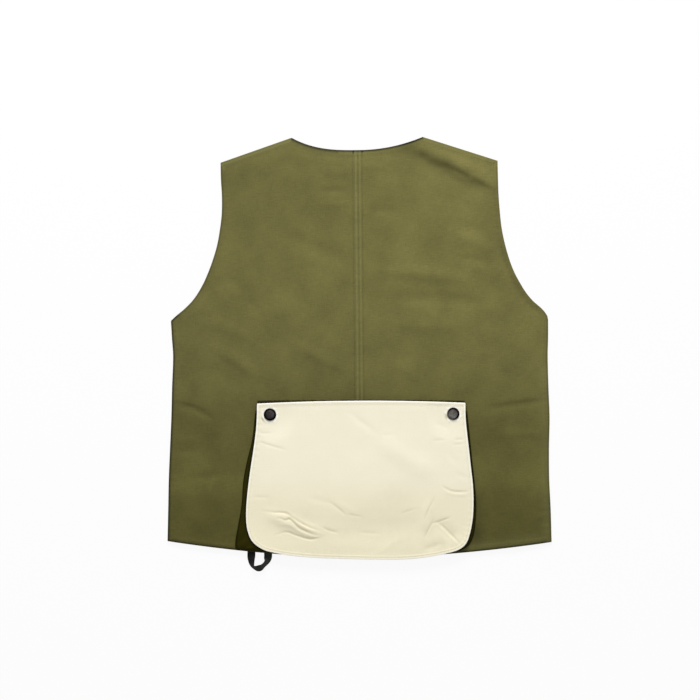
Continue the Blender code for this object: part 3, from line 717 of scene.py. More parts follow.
backCreases = (
    # right shoulder
    (2.5, 14, 8, 34, 323, 67, 307, 92, 293, 135, 276, 168, 259, 203, 242, 242, 222),
    (-1.5, 8, 12, 28, 309, 61, 294, 85, 279, 129, 262, 162, 245, 197, 228, 234, 208),
    (-1.3, 5, 9, 66, 301, 86, 292, 106, 281),
    (-1.2, 7, 9, 112, 277, 138, 264, 164, 252),
    (-0.6, 3.5, 4, 162, 252, 180, 243, 198, 233),
    (-0.8, 9, 9, 117, 191, 160, 182, 200, 175),
    (1, 9, 8, 132, 168, 168, 160, 206, 147),
    (-0.9, 7, 8, 135, 139, 168, 136, 204, 130),
    (1.25, 10, 9, 4, 120, 59, 118, 117, 112, 200, 100),
    (-1.25, 10, 12, 4, 84, 74, 81, 139, 78, 206, 69),
    (0.9, 11, 10, 8, 46, 88, 41, 178, 40),
    (0.8, 8, 8, 35, -9, 71, -25, 90, -46),
    (0.5, 9, 9, 117, -6, 160, -3, 206, 3),
    (0.5, 5, 5, 2, 272, 20, 271, 44, 269),
    (-0.45, 6, 6, 2, 207, 30, 207, 66, 205),
    # left of the centre seam
    (0.8, 8, 8, -62, 264, -34, 263, -6, 262),
    (-0.65, 5, 5, -66, 236, -38, 236, -7, 236),
    (0.5, 4.5, 4.5, -60, 217, -33, 217, -7, 217),
    (-1.2, 10, 12, -138, 188, -71, 156, -6, 131),
    (-0.8, 8, 9, -232, 109, -180, 102, -155, 70, -130, 38),
    (0.7, 9, 9, -252, 47, -194, 39, -154, 18),
    (1.3, 9, 8, -226, 18, -180, -9, -140, -39),
    (-0.7, 9, 9, -230, -9, -190, -38, -170, -70),
    (1.1, 9, 8, -107, 15, -60, -3, -10, -33),
    (-0.5, 8, 8, -117, 284, -96, 274, -74, 263),
    # down the left side
    (-1.35, 4.5, 5.5, -284, -72, -242, -78, -206, -99),
    (0.5, 6, 6, -282, -125, -250, -125, -224, -127),
    (-0.5, 5, 5, -282, -141, -250, -141, -228, -143),
    (-0.8, 7, 7, -266, -182, -208, -177, -162, -161),
    (0.8, 11, 11, -274, -202, -230, -203, -186, -205),
    # down the right side
    (-1.15, 5, 6, 170, -82, 222, -74, 284, -66),
    (0.5, 6, 6, 198, -115, 235, -115, 282, -117),
    (0.9, 12, 12, 178, -193, 215, -191, 254, -189),
    (-0.6, 3, 3, 252, -228, 266, -228, 282, -228),
    (-0.5, 3, 3, 254, -242, 267, -242, 282, -243),
)

# soft shadow under the right shoulder, as strengths of shade along lines
shoulderShade = (
    (0.3, 11, 13, 46, 312, 72, 304, 98, 292, 124, 278, 146, 268),
    (0.26, 4, 5, 108, 274, 130, 264, 150, 254, 172, 243, 192, 233),
)

backFinish = Settings(
    foldScale=1.55,
    # columns of the mesh from each half's centre edge, over the seam and under it
    overSeam=(
        0, 0.5, 1, 1.55, 2.2, 3.1, 4.2, 5.2, 5.9, 6.5, 7.1, 7.8, 8.8, 9.9, 10.8, 11.5, 12.1, 12.7,
        13.3, 14.2, 15.2, 16.2),
    underSeam=(0, 2, 4, 6, 7.4, 8.3, 9.2, 10.2, 11.3),
    pitches=(2.4, 2.2, 0.9),                   # of rows, of columns and at the hems
    band=10.5, bandRaise=0.55, lap=8,          # centre seam
    bandEnd=7.3, seamStitches=(-3.7, 1.5),
    # painted shade along the seam's lines and painted highlight on the band's ridges, as offset and strength
    seamLines=((-5.1, 0.04), (1.5, 0.13), (7.2, 0.2)), seamRidges=((-1.8, 0.26), (4, 0.2)),
    hemWide=6.6, hemRaise=0.42,                # turned edges
    stitchIn=5.3, groove=0.16, pucker=0.15,
    # how dark the painted shade at the very edge is: neck, shoulders, armholes, sides and hem
    edgeDark=Settings(
        neck=0.8, shoulder=0, armLeft=0.36, armRight=0.26, left=0.78, right=0.34, hem=0.72),
    neckFrom=250, shoulderFrom=272, armFrom=56, hemTo=-255, hemReach=271,
    calmLeft=-186, calmRight=176, calmTop=-58, calmEase=26,
)


def backBase(x, y):
    # upper face of the back without hems, in line with its solid
    side = np.where(x < 0, -1, 1)
    outer = np.where(side < 0, outerEdge(y, -1), outerEdge(y, 1))
    edge = ease((outer - np.abs(x)) / vest.roll) * ease((topEdge(x) - y) / vest.roll)
    beside = np.maximum(0, np.maximum(backFinish.calmLeft - x, x - backFinish.calmRight))
    over = np.maximum(0, y - backFinish.calmTop)
    calm = ease(np.hypot(beside, over) / backFinish.calmEase)
    nearSeam = ease((np.abs(x - seamX(y)) - 5) / 6)
    folds = backFinish.foldScale * creaseField(backCreases, x, y) * nearSeam + 0.2 * handLaid(x, y, 70, 11)
    height = mix(vest.seamTop, vest.backTop, edge) + folds * mix(0.35, 1, edge) * calm
    low = vest.seamTop - 0.15
    return np.where(height < low + 0.5, low + 0.5 * np.exp(np.minimum(0, (height - low - 0.5) / 0.5)), height)


def edgeRelief(distance, place, finish):
    # turned and topstitched edge over the cloth
    band = finish.hemRaise * (1 - ease((distance - finish.hemWide) / 1.3))
    groove = finish.groove * hump(distance - finish.stitchIn, 0.95)
    beat = np.sin(place * 2 * math.pi / 8.7 + 1.6 * np.sin(place / 21))
    pucker = finish.pucker * beat * hump(distance - finish.stitchIn - 1, 4.2)
    return band - groove + pucker * (0.6 + 0.4 * np.sin(place / 37))


def halfPlan(side, start, fixed, pitches, seam, outer, top, hem):
    # plan of a half: rows from the hem up, columns from the middle out
    rowPitch, columnPitch, fine = pitches
    share = rowShares(rowPitch, fine)[:, None]
    fixed = np.array(fixed, float)
    spread = spreadShares(side, fixed[-1] + side * start, columnPitch, fine)

    def reach(share):
        outerX = outer(mix(vest.hemCornerY, vest.shoulderTipY, share))
        inner = side * (seam(mix(vest.hemMiddleY, vest.neckPointY - vest.neckDrop, share)) + start)
        rest = mix(inner + fixed[-1], outerX, spread)
        return side * np.concatenate([inner + fixed, rest], axis=1)

    low = hem(reach(np.zeros((1, 1))))
    high = top(reach(np.ones((1, 1))))
    return reach(share), mix(low, high, share)


def rowShares(pitch, fine):
    low, arm, tip = vest.hemCornerY, vest.underarmY, vest.shoulderTipY
    split = (arm - low) / (tip - low)
    first = stepShares(arm - low, pitch, fine, atEnd=False, near=pouch.topY + 7 - low) * split
    second = mix(split, 1, stepShares(tip - arm, pitch, fine, atStart=False))
    return np.concatenate([first, second[1:]])


def spreadShares(side, start, pitch, fine):
    # columns from the seam to the outer edge, with one on the neck point
    tip = float(outerEdge(np.array(vest.shoulderTipY), side))
    neck = vest.neckHalf + side * vest.neckMiddle
    split = (neck - start) / (tip - start)
    first = stepShares(neck - start, pitch) * split
    second = mix(split, 1, stepShares(tip - neck, pitch, fine, atStart=False))
    return np.concatenate([first[1:], second[1:]])


def openEdge(x, y):
    # outer edge of a half, from the hem's middle round to the neck's middle
    plan = np.dstack([x, y])
    return np.concatenate([plan[0], plan[1:, -1], plan[-1, -2::-1]])


def onSurface(line, height):
    return np.column_stack([line, height(line[:, 0], line[:, 1]) + stitching.lift])


def backSurface(line, x, y):
    distance, place = nearestOn(line, x, y)
    return backBase(x, y) + edgeRelief(distance, place, backFinish), distance


pouchRing = np.vstack([pouchOutline(), pouchMouth()[1:]])


def pouchShade(x, y):
    # painted shadow of the panel: a soft dark line on the back right beside it, painted shade under it and at
    # its lower corners
    distance, _ = nearestOn(pouchRing, x, y)
    inside = (x > pouchEdgeX(y, -1)) & (x < pouchEdgeX(y, 1)) & (y < pouch.topY + 4)
    over = ease((y - pouch.topY + 6) / 6)
    wide = 1.7 + 1.1 * ease((x - 100) / 40) * ease((-150 - y) / 110)
    line = mix(0.97 * hump(distance, wide), 0.55 * hump(distance, 1.1), over)
    corner = 0.42 * hump(np.hypot((x - 168) / 1.1, (y + 258) / 1.9), 10)
    corner = corner + 0.6 * hump(np.hypot((x + 165) / 2.6, y + 284), 5)
    return np.clip(np.where(inside, 0.9, line + corner), 0, 0.97)


def edgeShade(x, y, distance):
    # painted shade along the turned edge, unequal round the garment as in the photograph
    dark = backFinish.edgeDark
    neck = (np.abs(x - vest.neckMiddle) < vest.neckHalf) & (y > backFinish.neckFrom)
    hem = (y < backFinish.hemTo) & (np.abs(x) < backFinish.hemReach)
    arm = y > backFinish.armFrom
    strength = np.select(
        [neck, y > backFinish.shoulderFrom, arm & (x < 0), arm, hem, x < 0],
        [dark.neck, dark.shoulder, dark.armLeft, dark.armRight, dark.hem, dark.left],
        dark.right)
    wide = np.select([neck & (x < -30), neck, hem], [3.4, 2, 2.4], 1.9)
    line = strength * hump(np.maximum(0, distance - 0.6), wide)
    # painted shade on the right armhole: its band is darker low down, and the cloth beside it turns from the
    # light
    turned = ease(x / 30) * ease((y - backFinish.armFrom) / 14) * ease((262 - y) / 30)
    band = 0.15 * (1 - ease((distance - 4) / 8)) * ease((185 - y) / 40)
    return np.maximum(line, turned * (band + 0.15 * hump(distance, 30)))


def edgeHighlight(x, y, distance):
    # painted highlight on the shoulders, and on the right side where its edge faces the light
    shoulder = mix(0.3, 0.16, ease(x / 30)) * hump(distance - 3.4, 2.6) * ease((y - 262) / 8)
    side = 0.17 * hump(distance - 4, 11) * ease(x / 30) * ease((20 - y) / 60)
    return shoulder + side


def seamShade(off, y):
    # painted shade: dark lines of the felled seam, and the nick where it meets the neckline
    lines = sum(dark * hump(off - at, 1.1) for at, dark in backFinish.seamLines)
    beat = 0.75 + 0.25 * np.sin(y / 6.3 + 2 * np.sin(y / 23))
    nick = 0.7 * hump(np.hypot((off + 5.1) / 0.9, (y - 292.5) / 2.6), 1)
    nick = nick + 0.5 * hump(np.hypot((off - 8) / 1.2, (y - 293.2) / 1.6), 1)
    return lines * beat + nick


backSeams = []      # rows of stitches on the back
backPieces = []


def addBackHalf(name, side, node):
    half = backFinish.band / 2
    rim = vest.rim
    fixed, start = backFinish.overSeam, -half
    if side < 0:
        fixed, start = backFinish.underSeam, backFinish.lap - half
    x, y = halfPlan(
        side, start, fixed, backFinish.pitches, seamX, lambda at: outerEdge(at, side) - rim,
        lambda at: topEdge(at) - rim, lambda at: hemEdge(at) + rim)
    line = openEdge(x, y)[::side]
    z, distance = backSurface(line, x, y)
    off = x - seamX(y)
    if side > 0:
        # raised band of the felled seam, its two rows of stitches pressed in
        step = backFinish.bandRaise * (1 - ease((off - backFinish.bandEnd + 1) / 2.2))
        for stitched in backFinish.seamStitches:
            step = step - 0.26 * hump(off - stitched, 0.9)
        step = step + 0.13 * np.sin(y / 1.9 + 1.3 * np.sin(y / 17)) * hump(off, 5.5)
    else:
        step = -backFinish.bandRaise * (1 - ease((-off - half - 0.3) / 2.6))
        step = step + 0.1 * np.sin(y / 2.3 + 1.1 * np.sin(y / 15)) * hump(off + half + 3, 5)
    over = np.dstack([x, y, z + step])
    under = np.dstack([x, y, backBase(x, y) + np.where(step > 0.3, step, np.minimum(step, 0)) - vest.wall])
    shade = np.maximum(pouchShade(x, y), edgeShade(x, y, distance)) + creaseField(shoulderShade, x, y)
    shade = np.clip(shade + seamShade(off, y), 0, 0.95)
    # painted highlight on the paler edges and on the ridges of the seam's band
    worn = edgeHighlight(x, y, distance) + sum(pale * hump(off - at, 1.5) for at, pale in backFinish.seamRidges)
    made = addShell(name, over, under, oliveCanvas, {"shade": shade, "worn": worn}, bulge=rim)
    backPieces.append((made, node, "olive_cloth", cutOf(over)))
    inset = insetLine(line, backFinish.stitchIn, trim=14)
    backSeams.append(onSurface(inset, lambda px, py: backSurface(line, px, py)[0]))


addBackHalf("backRightCloth", 1, "back_right")
addBackHalf("backLeftCloth", -1, "back_left")
bandY = np.arange(-290, 290, 2)
for offset in backFinish.seamStitches:
    bandX = seamX(bandY) + offset
    top = backBase(bandX, bandY) + backFinish.bandRaise - 0.24 + stitching.lift
    backSeams.append(np.column_stack([bandX, bandY, top]))
backStitches = addStitches("backStitches", backSeams, oliveThread, 3)
print("back made:", len(backStitches.data.polygons), "faces of stitches")


# Fronts, hidden below: flat on the table with the hems turned up inside

frontFinish = Settings(
    inset=1.2, edgeGap=0.75, armholeDeeper=9, neckDepth=115, neckCurve=0.9,
    hemWide=6.6, stitchIn=5.3, groove=0.34, hollow=0.28,
    atCentre=(0, 1.2, 2.4, 3.6, 4.8, 5.8, 6.8, 8.2), pitches=(5, 4.5, 1.4),
)
frontSeams = []
frontPieces = []


def frontOuter(y, side):
    share = np.clip((y - vest.underarmY) / (vest.shoulderTipY - vest.underarmY), 0, 1)
    deeper = frontFinish.armholeDeeper * np.sin(math.pi * share) ** 0.8
    return outerEdge(y, side) - frontFinish.inset - deeper


def frontTop(x):
    share = np.abs(x - vest.neckMiddle) / vest.neckHalf
    neck = frontFinish.neckDepth * np.maximum(1 - share, 0) ** frontFinish.neckCurve
    low = vest.neckPointY - frontFinish.inset - neck
    return np.where(share >= 1, topEdge(x) - frontFinish.inset, low)


def frontUnder(line, x, y):
    # outside of the front: hems rest on the table, the cloth between them lies just off it
    distance, place = nearestOn(line, x, y)
    hollow = frontFinish.hollow * ease((distance - frontFinish.hemWide) / 1.3)
    slack = hollow * (0.75 + 0.25 * handLaid(x, y, 90, 5))
    return slack + frontFinish.groove * hump(distance - frontFinish.stitchIn, 0.95)


def addFrontHalf(name, side, node):
    x, y = halfPlan(
        side, side * frontFinish.edgeGap, frontFinish.atCentre, frontFinish.pitches, lambda at: 0 * at,
        lambda at: frontOuter(at, side), frontTop, lambda at: hemEdge(at) + frontFinish.inset)
    centre = np.column_stack([x[::-1, 0], y[::-1, 0]])
    line = np.vstack([openEdge(x, y), centre[1:]])[::side]
    under = np.dstack([x, y, frontUnder(line, x, y)])
    over = np.dstack([x, y, np.full(x.shape, vest.frontTop)])
    made = addShell(name, over, under, oliveCanvas, {"shade": np.zeros(x.shape)}, bulge=0.5)
    frontPieces.append((made, node, "olive_cloth", cutOf(over)))
    inset = insetLine(line, frontFinish.stitchIn, trim=8)
    low = frontUnder(line, inset[:, 0], inset[:, 1]) - 0.04
    frontSeams.append(np.column_stack([inset, np.maximum(low, stitching.thickness * 0.6)]))


addFrontHalf("frontRightCloth", 1, "front_right")
addFrontHalf("frontLeftCloth", -1, "front_left")
frontStitches = addStitches("frontStitches", frontSeams, oliveThread, 5)
print("fronts made")


# Pouch panel

pouchCreases = (
    # bunched folds at the lower left
    (-1.7, 1.4, 1.4, -152, -225, -127, -228, -107, -229.5, -95, -237, -84, -244, -69, -251, -48, -258),
    (1.15, 2.2, 2.2, -136, -232, -104, -233.5, -90, -243, -72, -253.5, -48, -260),
    (-1.9, 1.4, 1.4, -130, -239, -116, -236.7, -107, -239.6, -101, -238.2, -94, -244,
     -87, -251, -75, -257, -63, -261.5, -46, -262),
    (0.95, 2.6, 2.4, -126, -248, -103, -246.5, -88, -256, -70, -262.5, -48, -265),
    (-1.6, 1.4, 1.4, -130, -264, -107, -257, -92, -261.5, -78, -266, -66, -267, -44, -261),
    (-0.8, 1.8, 1.8, -56, -249, -42, -255, -27, -258),
    # below the middle
    (-0.9, 1.4, 1.4, -46, -212, -31, -222, -16, -236),
    (0.5, 4.5, 3.5, -38, -209, -16, -223.5, 0, -235),
    (-0.5, 1.4, 1.4, -21, -231, -7, -233, 8, -236),
    (-2.3, 30, 24, -40, -257, 10, -256, 62, -252, 130, -238),
    (-0.45, 1.5, 1.5, 57, -231, 71, -226.5, 85, -222),
    (-0.4, 4, 4, -80, -206, -55, -212, -28, -218),
    (-0.4, 2.2, 2.2, -4, -257, 14, -258, 33, -259),
    (0.6, 5, 5, 22, -293, 42, -277, 64, -262),
    # right side
    (-1.1, 1.4, 1.4, 117, -189, 135, -198, 163, -198.5),
    (0.6, 2, 2, 120, -196, 136, -203, 163, -203),
    (-0.7, 1.5, 1.5, 110, -204, 100, -223.5, 92, -243),
    (-0.75, 1.5, 1.5, 111, -233, 100, -252.5, 92, -269),
    (-0.8, 1.6, 1.6, 100, -246, 117.5, -241, 136, -234),
    (-1.2, 1.3, 1.3, 110, -239, 129, -256.5, 150, -278),
    (0.7, 1.8, 1.8, 107, -242, 126, -259.5, 146, -280),
    (-0.8, 4, 4, 90, -282, 106, -279, 124, -270),
    (-0.4, 5, 5, 124, -139, 136.5, -152.5, 146, -166),
    (-0.4, 4, 4, 133, -169, 150, -177, 163, -183),
    # upper part and the sides
    (-0.6, 4.5, 4.5, -21, -80, 4.5, -99.5, 31, -119),
    (0.5, 12, 10, 15, -125, 67, -158.5, 127, -199),
    (-0.3, 2.6, 2.6, 28, -117, 42, -117, 56, -116),
    (-0.7, 1.5, 1.5, -157, -122, -128, -132, -100, -140),
    (-0.45, 2, 2, -154, -114, -138, -114, -123, -114),
    (-0.4, 2, 2, -158, -206, -142, -206.5, -128, -207),
    (-0.4, 1.8, 1.8, 104, -124, 115, -124, 126, -123),
    (-0.5, 1.8, 1.8, 134, -124, 147, -123, 159, -122),
    (-0.4, 1.8, 1.8, 131, -131, 144, -130, 158, -130),
    (-0.4, 4, 4, 107, -98, 120, -104, 133, -111),
)

pouchFinish = Settings(
    rows=1.3, columns=1.32, hemWide=3.9, hemRaise=0.34, stitchIn=2.9,
    groove=0.18, pucker=0.12, capDent=0.35,
)


def pouchSurface(x, y):
    distance, place = nearestOn(pouchRing, x, y)
    inner = ease((distance - 1) / 9)
    low = vest.backTop + pouchLift(x, y) + pouch.cloth
    calm = np.ones(x.shape)
    snap = np.zeros(x.shape)
    for snapX, snapY in pouch.snaps:
        away = np.hypot(x - snapX, y - snapY)
        calm = calm * ease((away - 11) / 9)
        angle = np.arctan2(y - snapY, x - snapX)
        pinch = 0.5 + 0.5 * np.sin(9 * angle + 1.5 * np.sin(2 * angle))
        snap = snap + 0.34 * pinch * hump(away - 11.6, 1.7) - pouchFinish.capDent * hump(away, 9.4)
    folds = 0.62 * creaseField(pouchCreases, x, y) + 0.1 * handLaid(x, y, 60, 23)
    z = low + folds * mix(0.35, 1, inner) * calm + snap + edgeRelief(distance, place, pouchFinish)
    return z, low, distance


panelShares = stepShares(pouch.height, pouchFinish.rows, 0.8)
panelAcross = stepShares(2 * pouch.halfWidth, pouchFinish.columns, 0.8)
panelX, panelY = pouchPoint(panelAcross[None, :], panelShares[:, None])
panelZ, panelLow, panelEdge = pouchSurface(panelX, panelY)
folds = panelZ - panelLow
panelOver = np.dstack([panelX, panelY, panelZ])
panelUnder = np.dstack([panelX, panelY, panelLow + np.clip(folds, -2.2, 1.6) * 0.85 - pouch.wall])
# painted shade in the troughs of the sharper creases, and along the hem's stitch line
sharpLines = [
    (height, 1.1, 1.1, *points) for height, wide, _, *points in pouchCreases if height < -0.35 and wide < 3]
troughs = np.clip(-creaseField(sharpLines, panelX, panelY), 0, 1.4) * ease((panelEdge - 2) / 8)
panelShade = 0.05 * hump(panelEdge - 3.1, 0.8) + 0.32 * troughs
# painted highlight along the panel's turned edge
panelHighlight = 0.8 * hump(panelEdge, 1.3)
# soft shadow in the slack hollows low on the pouch: middle, reach along and up, darkness
shadowMottle = 0.8 + 0.45 * handLaid(panelX, panelY, 26, 31)
for middleX, middleY, along, up, dark in (
        (54, -206, 24, 21, 0.075), (-27, -254, 40, 8, 0.075), (62, -268, 42, 9, 0.075),
        (116, -272, 24, 9, 0.11), (40, -244, 26, 9, 0.035), (-74, -237, 16, 7, 0.05)):
    reach = np.hypot((panelX - middleX) / along, (panelY - middleY) / up)
    panelShade = panelShade + dark * hump(reach, 1) * shadowMottle
# painted shade in an arc beside each cap and a painted highlight in a ring round it: the arc's distance,
# width, direction, spread and darkness
for (capX, capY), (reach, wide, turn, spread, dark) in zip(
        pouch.snaps, ((12.7, 1.2, -2.5, 0.36, 0.95), (10.6, 1.9, -2.8, 0.4, 0.8))):
    away = np.hypot(panelX - capX, panelY - capY)
    angle = np.arctan2(panelY - capY, panelX - capX)
    panelShade = panelShade + dark * hump(away - reach, wide) * hump(angle - turn, spread)
    panelHighlight = panelHighlight + 0.9 * hump(away - 10.4, 1.3)
pouchPanel = addShell(
    "pouchPanelCloth", panelOver, panelUnder, creamCanvas,
    {"shade": panelShade, "worn": np.clip(panelHighlight, 0, 1)}, bulge=pouch.rim)
panelRows = [
    onSurface(insetLine(row, pouchFinish.stitchIn, trim=4), lambda px, py: pouchSurface(px, py)[0])
    for row in (pouchOutline(), pouchMouth())
]
pouchStitches = addStitches("pouchStitches", panelRows, creamThread, 7)
print("pouch panel made")


# Bellows strip round the pouch: sewn line on the back, web, crest and flange under the panel

gusset = Settings(
    wall=1.1, gap=0.45, setback=2.8, cover=2, web=4, flange=6,
    left=(
        (0, -136, -285.3), (0.04, -152, -284.2), (0.09, -169, -283.2), (0.13, -178.4, -281),
        (0.18, -179, -270), (0.25, -175, -247), (0.33, -171.4, -227), (0.4, -169.6, -212),
        (0.52, -167.6, -183), (0.65, -161.6, -152), (0.75, -155.2, -126), (0.94, -150.2, -82.5)),
    right=(
        (0, 133, -286.2), (0.04, 144.5, -284.6), (0.09, 153, -280.5), (0.13, 159.4, -274),
        (0.18, 164.4, -263), (0.25, 167.6, -244), (0.4, 168.4, -210),
        (0.65, 162.8, -152), (0.94, 155.6, -82.5)),
)


def gussetPath():
    edge, sewn = [], []
    for side, table in ((-1, gusset.left), (1, gusset.right)):
        rows = np.array(table)
        share = rows[-1, 0] * np.linspace(1, 0, 170) ** 1.35
        edge.append(np.column_stack(pouchSide(share, side)))
        sewn.append(np.column_stack([readTable(rows[:, [0, column]], share) for column in (1, 2)]))
    across = np.linspace(0, 1, 150)[1:-1]
    x = mix(gusset.left[0][1], gusset.right[0][1], across)
    bottom = np.column_stack(pouchPoint(across, 0))
    under = np.column_stack([x, hemEdge(x) + gusset.setback])
    return np.vstack([edge[0], bottom, edge[1][::-1]]), np.vstack([sewn[0], under, sewn[1][::-1]])


def addGusset():
    edge, sewn = gussetPath()
    inward = leftOf(edge)
    outside = np.sum((edge - sewn) * inward, axis=1)
    crest = edge + inward * np.maximum(gusset.cover, gusset.web - outside)[:, None]
    flange = crest + inward * gusset.flange
    offBand = (np.abs(sewn[:, 0] - seamX(sewn[:, 1])) - 15.75) / 10.5
    low = vest.backTop + gusset.gap + backFinish.bandRaise * (1 - ease(offBand))
    under = vest.backTop - gusset.gap - gusset.wall
    crestLow = under + pouchLift(*crest.T)
    flangeLow = under + pouchLift(*flange.T)
    gone = alongLine(sewn)
    wide = np.hypot(*(crest - sewn).T)
    lines = []
    for t in np.linspace(0, 1, 13):
        # the web rises from the sewn line in a soft S to the crest
        loose = np.clip(wide / 16, 0, 1) * math.sin(math.pi * t)
        pleat = 0.9 * loose * hump(t - 0.38, 0.16)
        crumple = 0.45 * loose * np.sin(gone / 3.1 + 2 * np.sin(gone / 11) + 4 * t)
        rise = mix(low, crestLow, ease(t * 1.05)) + np.maximum(0, pleat + crumple)
        lines.append(np.column_stack([mix(sewn, crest, t), rise]))
    for t in (0.25, 0.5, 0.75, 1):
        lines.append(np.column_stack([mix(crest, flange, t), mix(crestLow, flangeLow, t)]))
    grid = np.stack(lines, axis=1)
    near, _ = nearestOn(pouchRing, grid[..., 0], grid[..., 1])
    # painted shade: near black beside the panel's edge, and darker along the sewn line
    shade = 0.95 * hump(near, 2.6)
    shade[:, :2] = np.maximum(shade[:, :2], 0.5)
    over = grid + (0, 0, gusset.wall)
    made = addShell("pouchGussetCloth", over, grid, shadedBellowsCanvas, {"shade": shade}, 0.4)
    across = np.hypot(*np.diff(grid, axis=1).transpose(2, 0, 1)[:2]).sum(axis=1)
    length = np.hypot(*np.diff((sewn + crest) / 2, axis=0).T)
    area = float(np.sum((across[1:] + across[:-1]) / 2 * length)) * mm * mm
    return made, {"flat": (float(across.max()) * mm, float(length.sum()) * mm), "area": area}


pouchGusset, gussetCut = addGusset()
print("bellows made", gussetCut)


# Snap caps with their posts and sockets

snap = Settings(
    capRadius=9, capHeight=3.1, post=2.2, socket=7, socketHeight=1.8,
    recess=3, recessDepth=1.2, sides=72, gap=0.3,
)


def addCap(name, centre, face, lean):
    # face is how pale the cap's painted reflection is, lean how much more at its lower left, and how much
    # darker the painted shade is at the rim's upper right
    radius, gap, post, socket, recess = snap.capRadius, snap.gap, snap.post, snap.socket, snap.recess
    base = vest.backTop + pouch.snapLift + pouch.cloth
    under = -pouch.cloth - gap
    foot = under - snap.socketHeight
    top = snap.capHeight - 0.1
    profile = [(0, top)]
    # shallow dished face inside a rounded shoulder, then the rolled rim
    for share in (0.12, 0.25, 0.38, 0.5, 0.6, 0.68, 0.74, 0.79, 0.84, 0.885, 0.925, 0.955, 0.98, 0.995, 1):
        dome = top - 0.35 * share ** 2 - 1.9 * max(0, (share - 0.68) / 0.32) ** 2.6
        profile.append((radius * share, dome + 0.1 * hump(share - 0.62, 0.07)))
    profile += [
        (radius, 0.72), (radius * 0.992, 0.52), (radius * 0.97, 0.38), (radius * 0.935, gap),
        (radius * 0.85, gap), (post, gap), (post, under), (socket * 0.95, under), (socket, under - 0.15),
        (socket, foot + 0.15), (socket * 0.95, foot), (recess + 0.2, foot), (recess, foot + 0.2),
        (recess, foot + snap.recessDepth), (0, foot + snap.recessDepth),
    ]
    points, rings = [], []
    for away, z in profile:
        count = snap.sides if away else 1
        rings.append(list(range(len(points), len(points) + count)) * (snap.sides // count))
        for angle in np.arange(count) * 2 * math.pi / count:
            points.append((centre[0] + away * math.cos(angle), centre[1] + away * math.sin(angle), base + z))
    faces = []
    for upper, lower in zip(rings, rings[1:]):
        for step in range(snap.sides):
            after = (step + 1) % snap.sides
            faces.append(tuple(dict.fromkeys((upper[step], lower[step], lower[after], upper[after]))))
    plan = (np.array(points)[:, :2] - centre) / radius
    away = np.hypot(*plan.T)
    diagonal = plan.sum(axis=1) / math.sqrt(2)
    marks = {
        "shade": np.clip(ease((away - 0.62) / 0.13) * (1 + max(lean, 0) * 0.6 * diagonal), 0, 1),
        "worn": np.clip(face - lean * 0.7 * diagonal, 0, 1),
    }
    made = addMesh(name, points, faces, gunmetal, marks)
    made.data.set_sharp_from_angle(angle=math.radians(50))
    return made


capLeft = addCap("snapCapLeft", pouch.snaps[0], 0.14, -0.35)
capRight = addCap("snapCapRight", pouch.snaps[1], 0.75, 0.9)
for stud in ("snap_stud_left", "snap_stud_right"):
    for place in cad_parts[stud].material_slots:
        place.material = gunmetal
print("snaps made")


# Tape loop at the hem: middle of the tape and how far it tips on its edge

tape = Settings(
    width=11.6, thickness=1.15, ribs=5, ribDepth=0.16, columns=21,
    line=(
        (-156.3, -279, 2.4, 0), (-156.5, -290.5, 2.4, 2), (-156.6, -297, 3.3, 26),
        (-155.8, -303.3, 4.8, 47), (-153.2, -308.4, 5.7, 65), (-145.4, -310.1, 5.2, 33),
        (-138.6, -305.9, 5.5, 56), (-133.6, -300.2, 4.8, 45), (-132.4, -294.5, 3, 12),
        (-132.2, -290, 2.4, 0), (-132.5, -279, 2.4, 0)),
    litAlong=(20, 42), lit=(0.15, 1.1),
)


blackTape = tapePaint("blackTape")


def addTapeLoop():
    path = smoothPath(tape.line, 12)
    tip = np.radians(path[:, 3])[:, None]
    inward = leftOf(path)
    wide = np.column_stack([inward * np.cos(tip), np.sin(tip)]) * tape.width / 2
    thick = np.column_stack([-inward * np.sin(tip), np.cos(tip)])
    gone = alongLine(path[:, :3])
    across = np.linspace(-1, 1, tape.columns)
    rib = np.abs(np.sin((across + 1) / 2 * math.pi * tape.ribs))
    half = tape.thickness / 2 - tape.ribDepth * (1 - rib)
    half = half * np.sqrt(np.maximum(0, 1 - np.abs(across) ** 14)) + 0.02
    outline = np.vstack([np.column_stack([across, half]), np.column_stack([across, -half])[::-1]])
    points = np.concatenate([
        path[:, None, :3] + wide[:, None] * a + thick[:, None] * h for a, h in outline
    ], axis=1)
    index = np.arange(points.shape[0] * points.shape[1]).reshape(points.shape[:2])
    ahead = np.roll(index, -1, axis=1)
    quads = np.stack([index[:-1], ahead[:-1], ahead[1:], index[1:]], axis=-1).reshape(-1, 4)
    faces = quads.tolist() + [index[0].tolist(), index[-1, ::-1].tolist()]
    marks = {
        "along": np.repeat(gone, len(outline)),
        "across": np.tile((outline[:, 0] + 1) / 2, len(path)),
        "lit": np.repeat(np.interp(gone, tape.litAlong, tape.lit), len(outline)),
    }
    return addMesh("hemLoopTape", points.reshape(-1, 3), faces, blackTape, marks), float(gone[-1])


hemLoop, tapeLength = addTapeLoop()
print("tape loop made, length", round(tapeLength, 1))


# What each piece rides on, stands for and is cut from

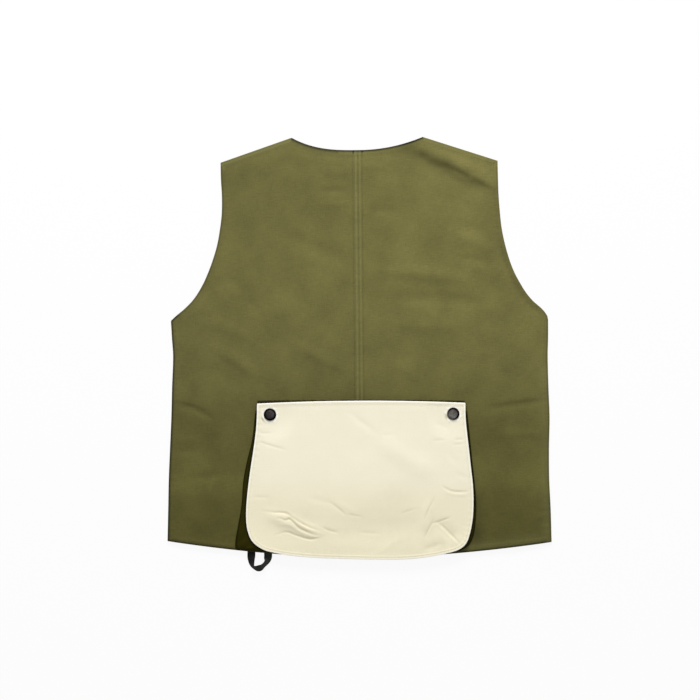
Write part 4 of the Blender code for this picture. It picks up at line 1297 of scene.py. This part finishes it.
pieces = backPieces + frontPieces + [
    (pouchPanel, "pouch_panel", "cream_cloth", cutOf(panelOver)),
    (pouchGusset, "pouch_gusset", "olive_cloth", gussetCut),
    (hemLoop, "hem_loop", "black_tape", {"flat": (tape.width * mm, tapeLength * mm)}),
    (capLeft, "snap_cap_left", "gunmetal", None), (capRight, "snap_cap_right", "gunmetal", None),
    (backStitches, None, "olive_cloth", None), (frontStitches, None, "olive_cloth", None),
    (pouchStitches, None, "cream_cloth", None),
]
for made, node, slot, cut in pieces:
    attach(made, "root")
    if node:
        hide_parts(node)
print("pieces placed")


# Table, light and camera

studio = Settings(
    half=6000, tableTop=-0.2, floor=0.05, glow=0.912, sky=0.53,
    keyPlace=(-0.1, 2.2, 1.45), keyPower=79, keySize=0.9,
    cameraHeight=4, lens=141.9, lookAt=(-0.01358, 0.00588),
)


def addStudio():
    paint = Paint("paleTable")
    pale = paint.dressed({
        "Roughness": 0.9, "Base Color": (studio.floor,) * 3 + (1,), "Emission Color": (1,) * 4,
        "Emission Strength": studio.glow,
    })
    half, low = studio.half, studio.tableTop
    corners = [(-half, -half, low), (half, -half, low), (half, half, low), (-half, half, low)]
    addMesh("studioFloor", corners, [(0, 1, 2, 3)], pale)

    world = bpy.data.worlds.new("studioSky")
    world.use_nodes = True
    sky = world.node_tree.nodes["Background"]
    sky.inputs["Color"].default_value = (1,) * 4
    sky.inputs["Strength"].default_value = studio.sky
    bpy.context.scene.world = world

    key = bpy.data.lights.new("windowLight", "AREA")
    key.shape = "SQUARE"
    key.size = studio.keySize
    key.energy = studio.keyPower
    lamp = addObject("windowLight", key)
    lamp.location = studio.keyPlace
    lamp.rotation_euler = lamp.location.to_track_quat("Z", "Y").to_euler()

    lens = bpy.data.cameras.new("overhead")
    lens.lens = studio.lens
    lens.sensor_width = 36
    lens.clip_end = 50
    camera = addObject("overhead", lens)
    camera.location = (*studio.lookAt, studio.cameraHeight)
    bpy.context.scene.camera = camera
    bpy.context.scene.view_settings.view_transform = "Standard"


addStudio()
print("studio made")
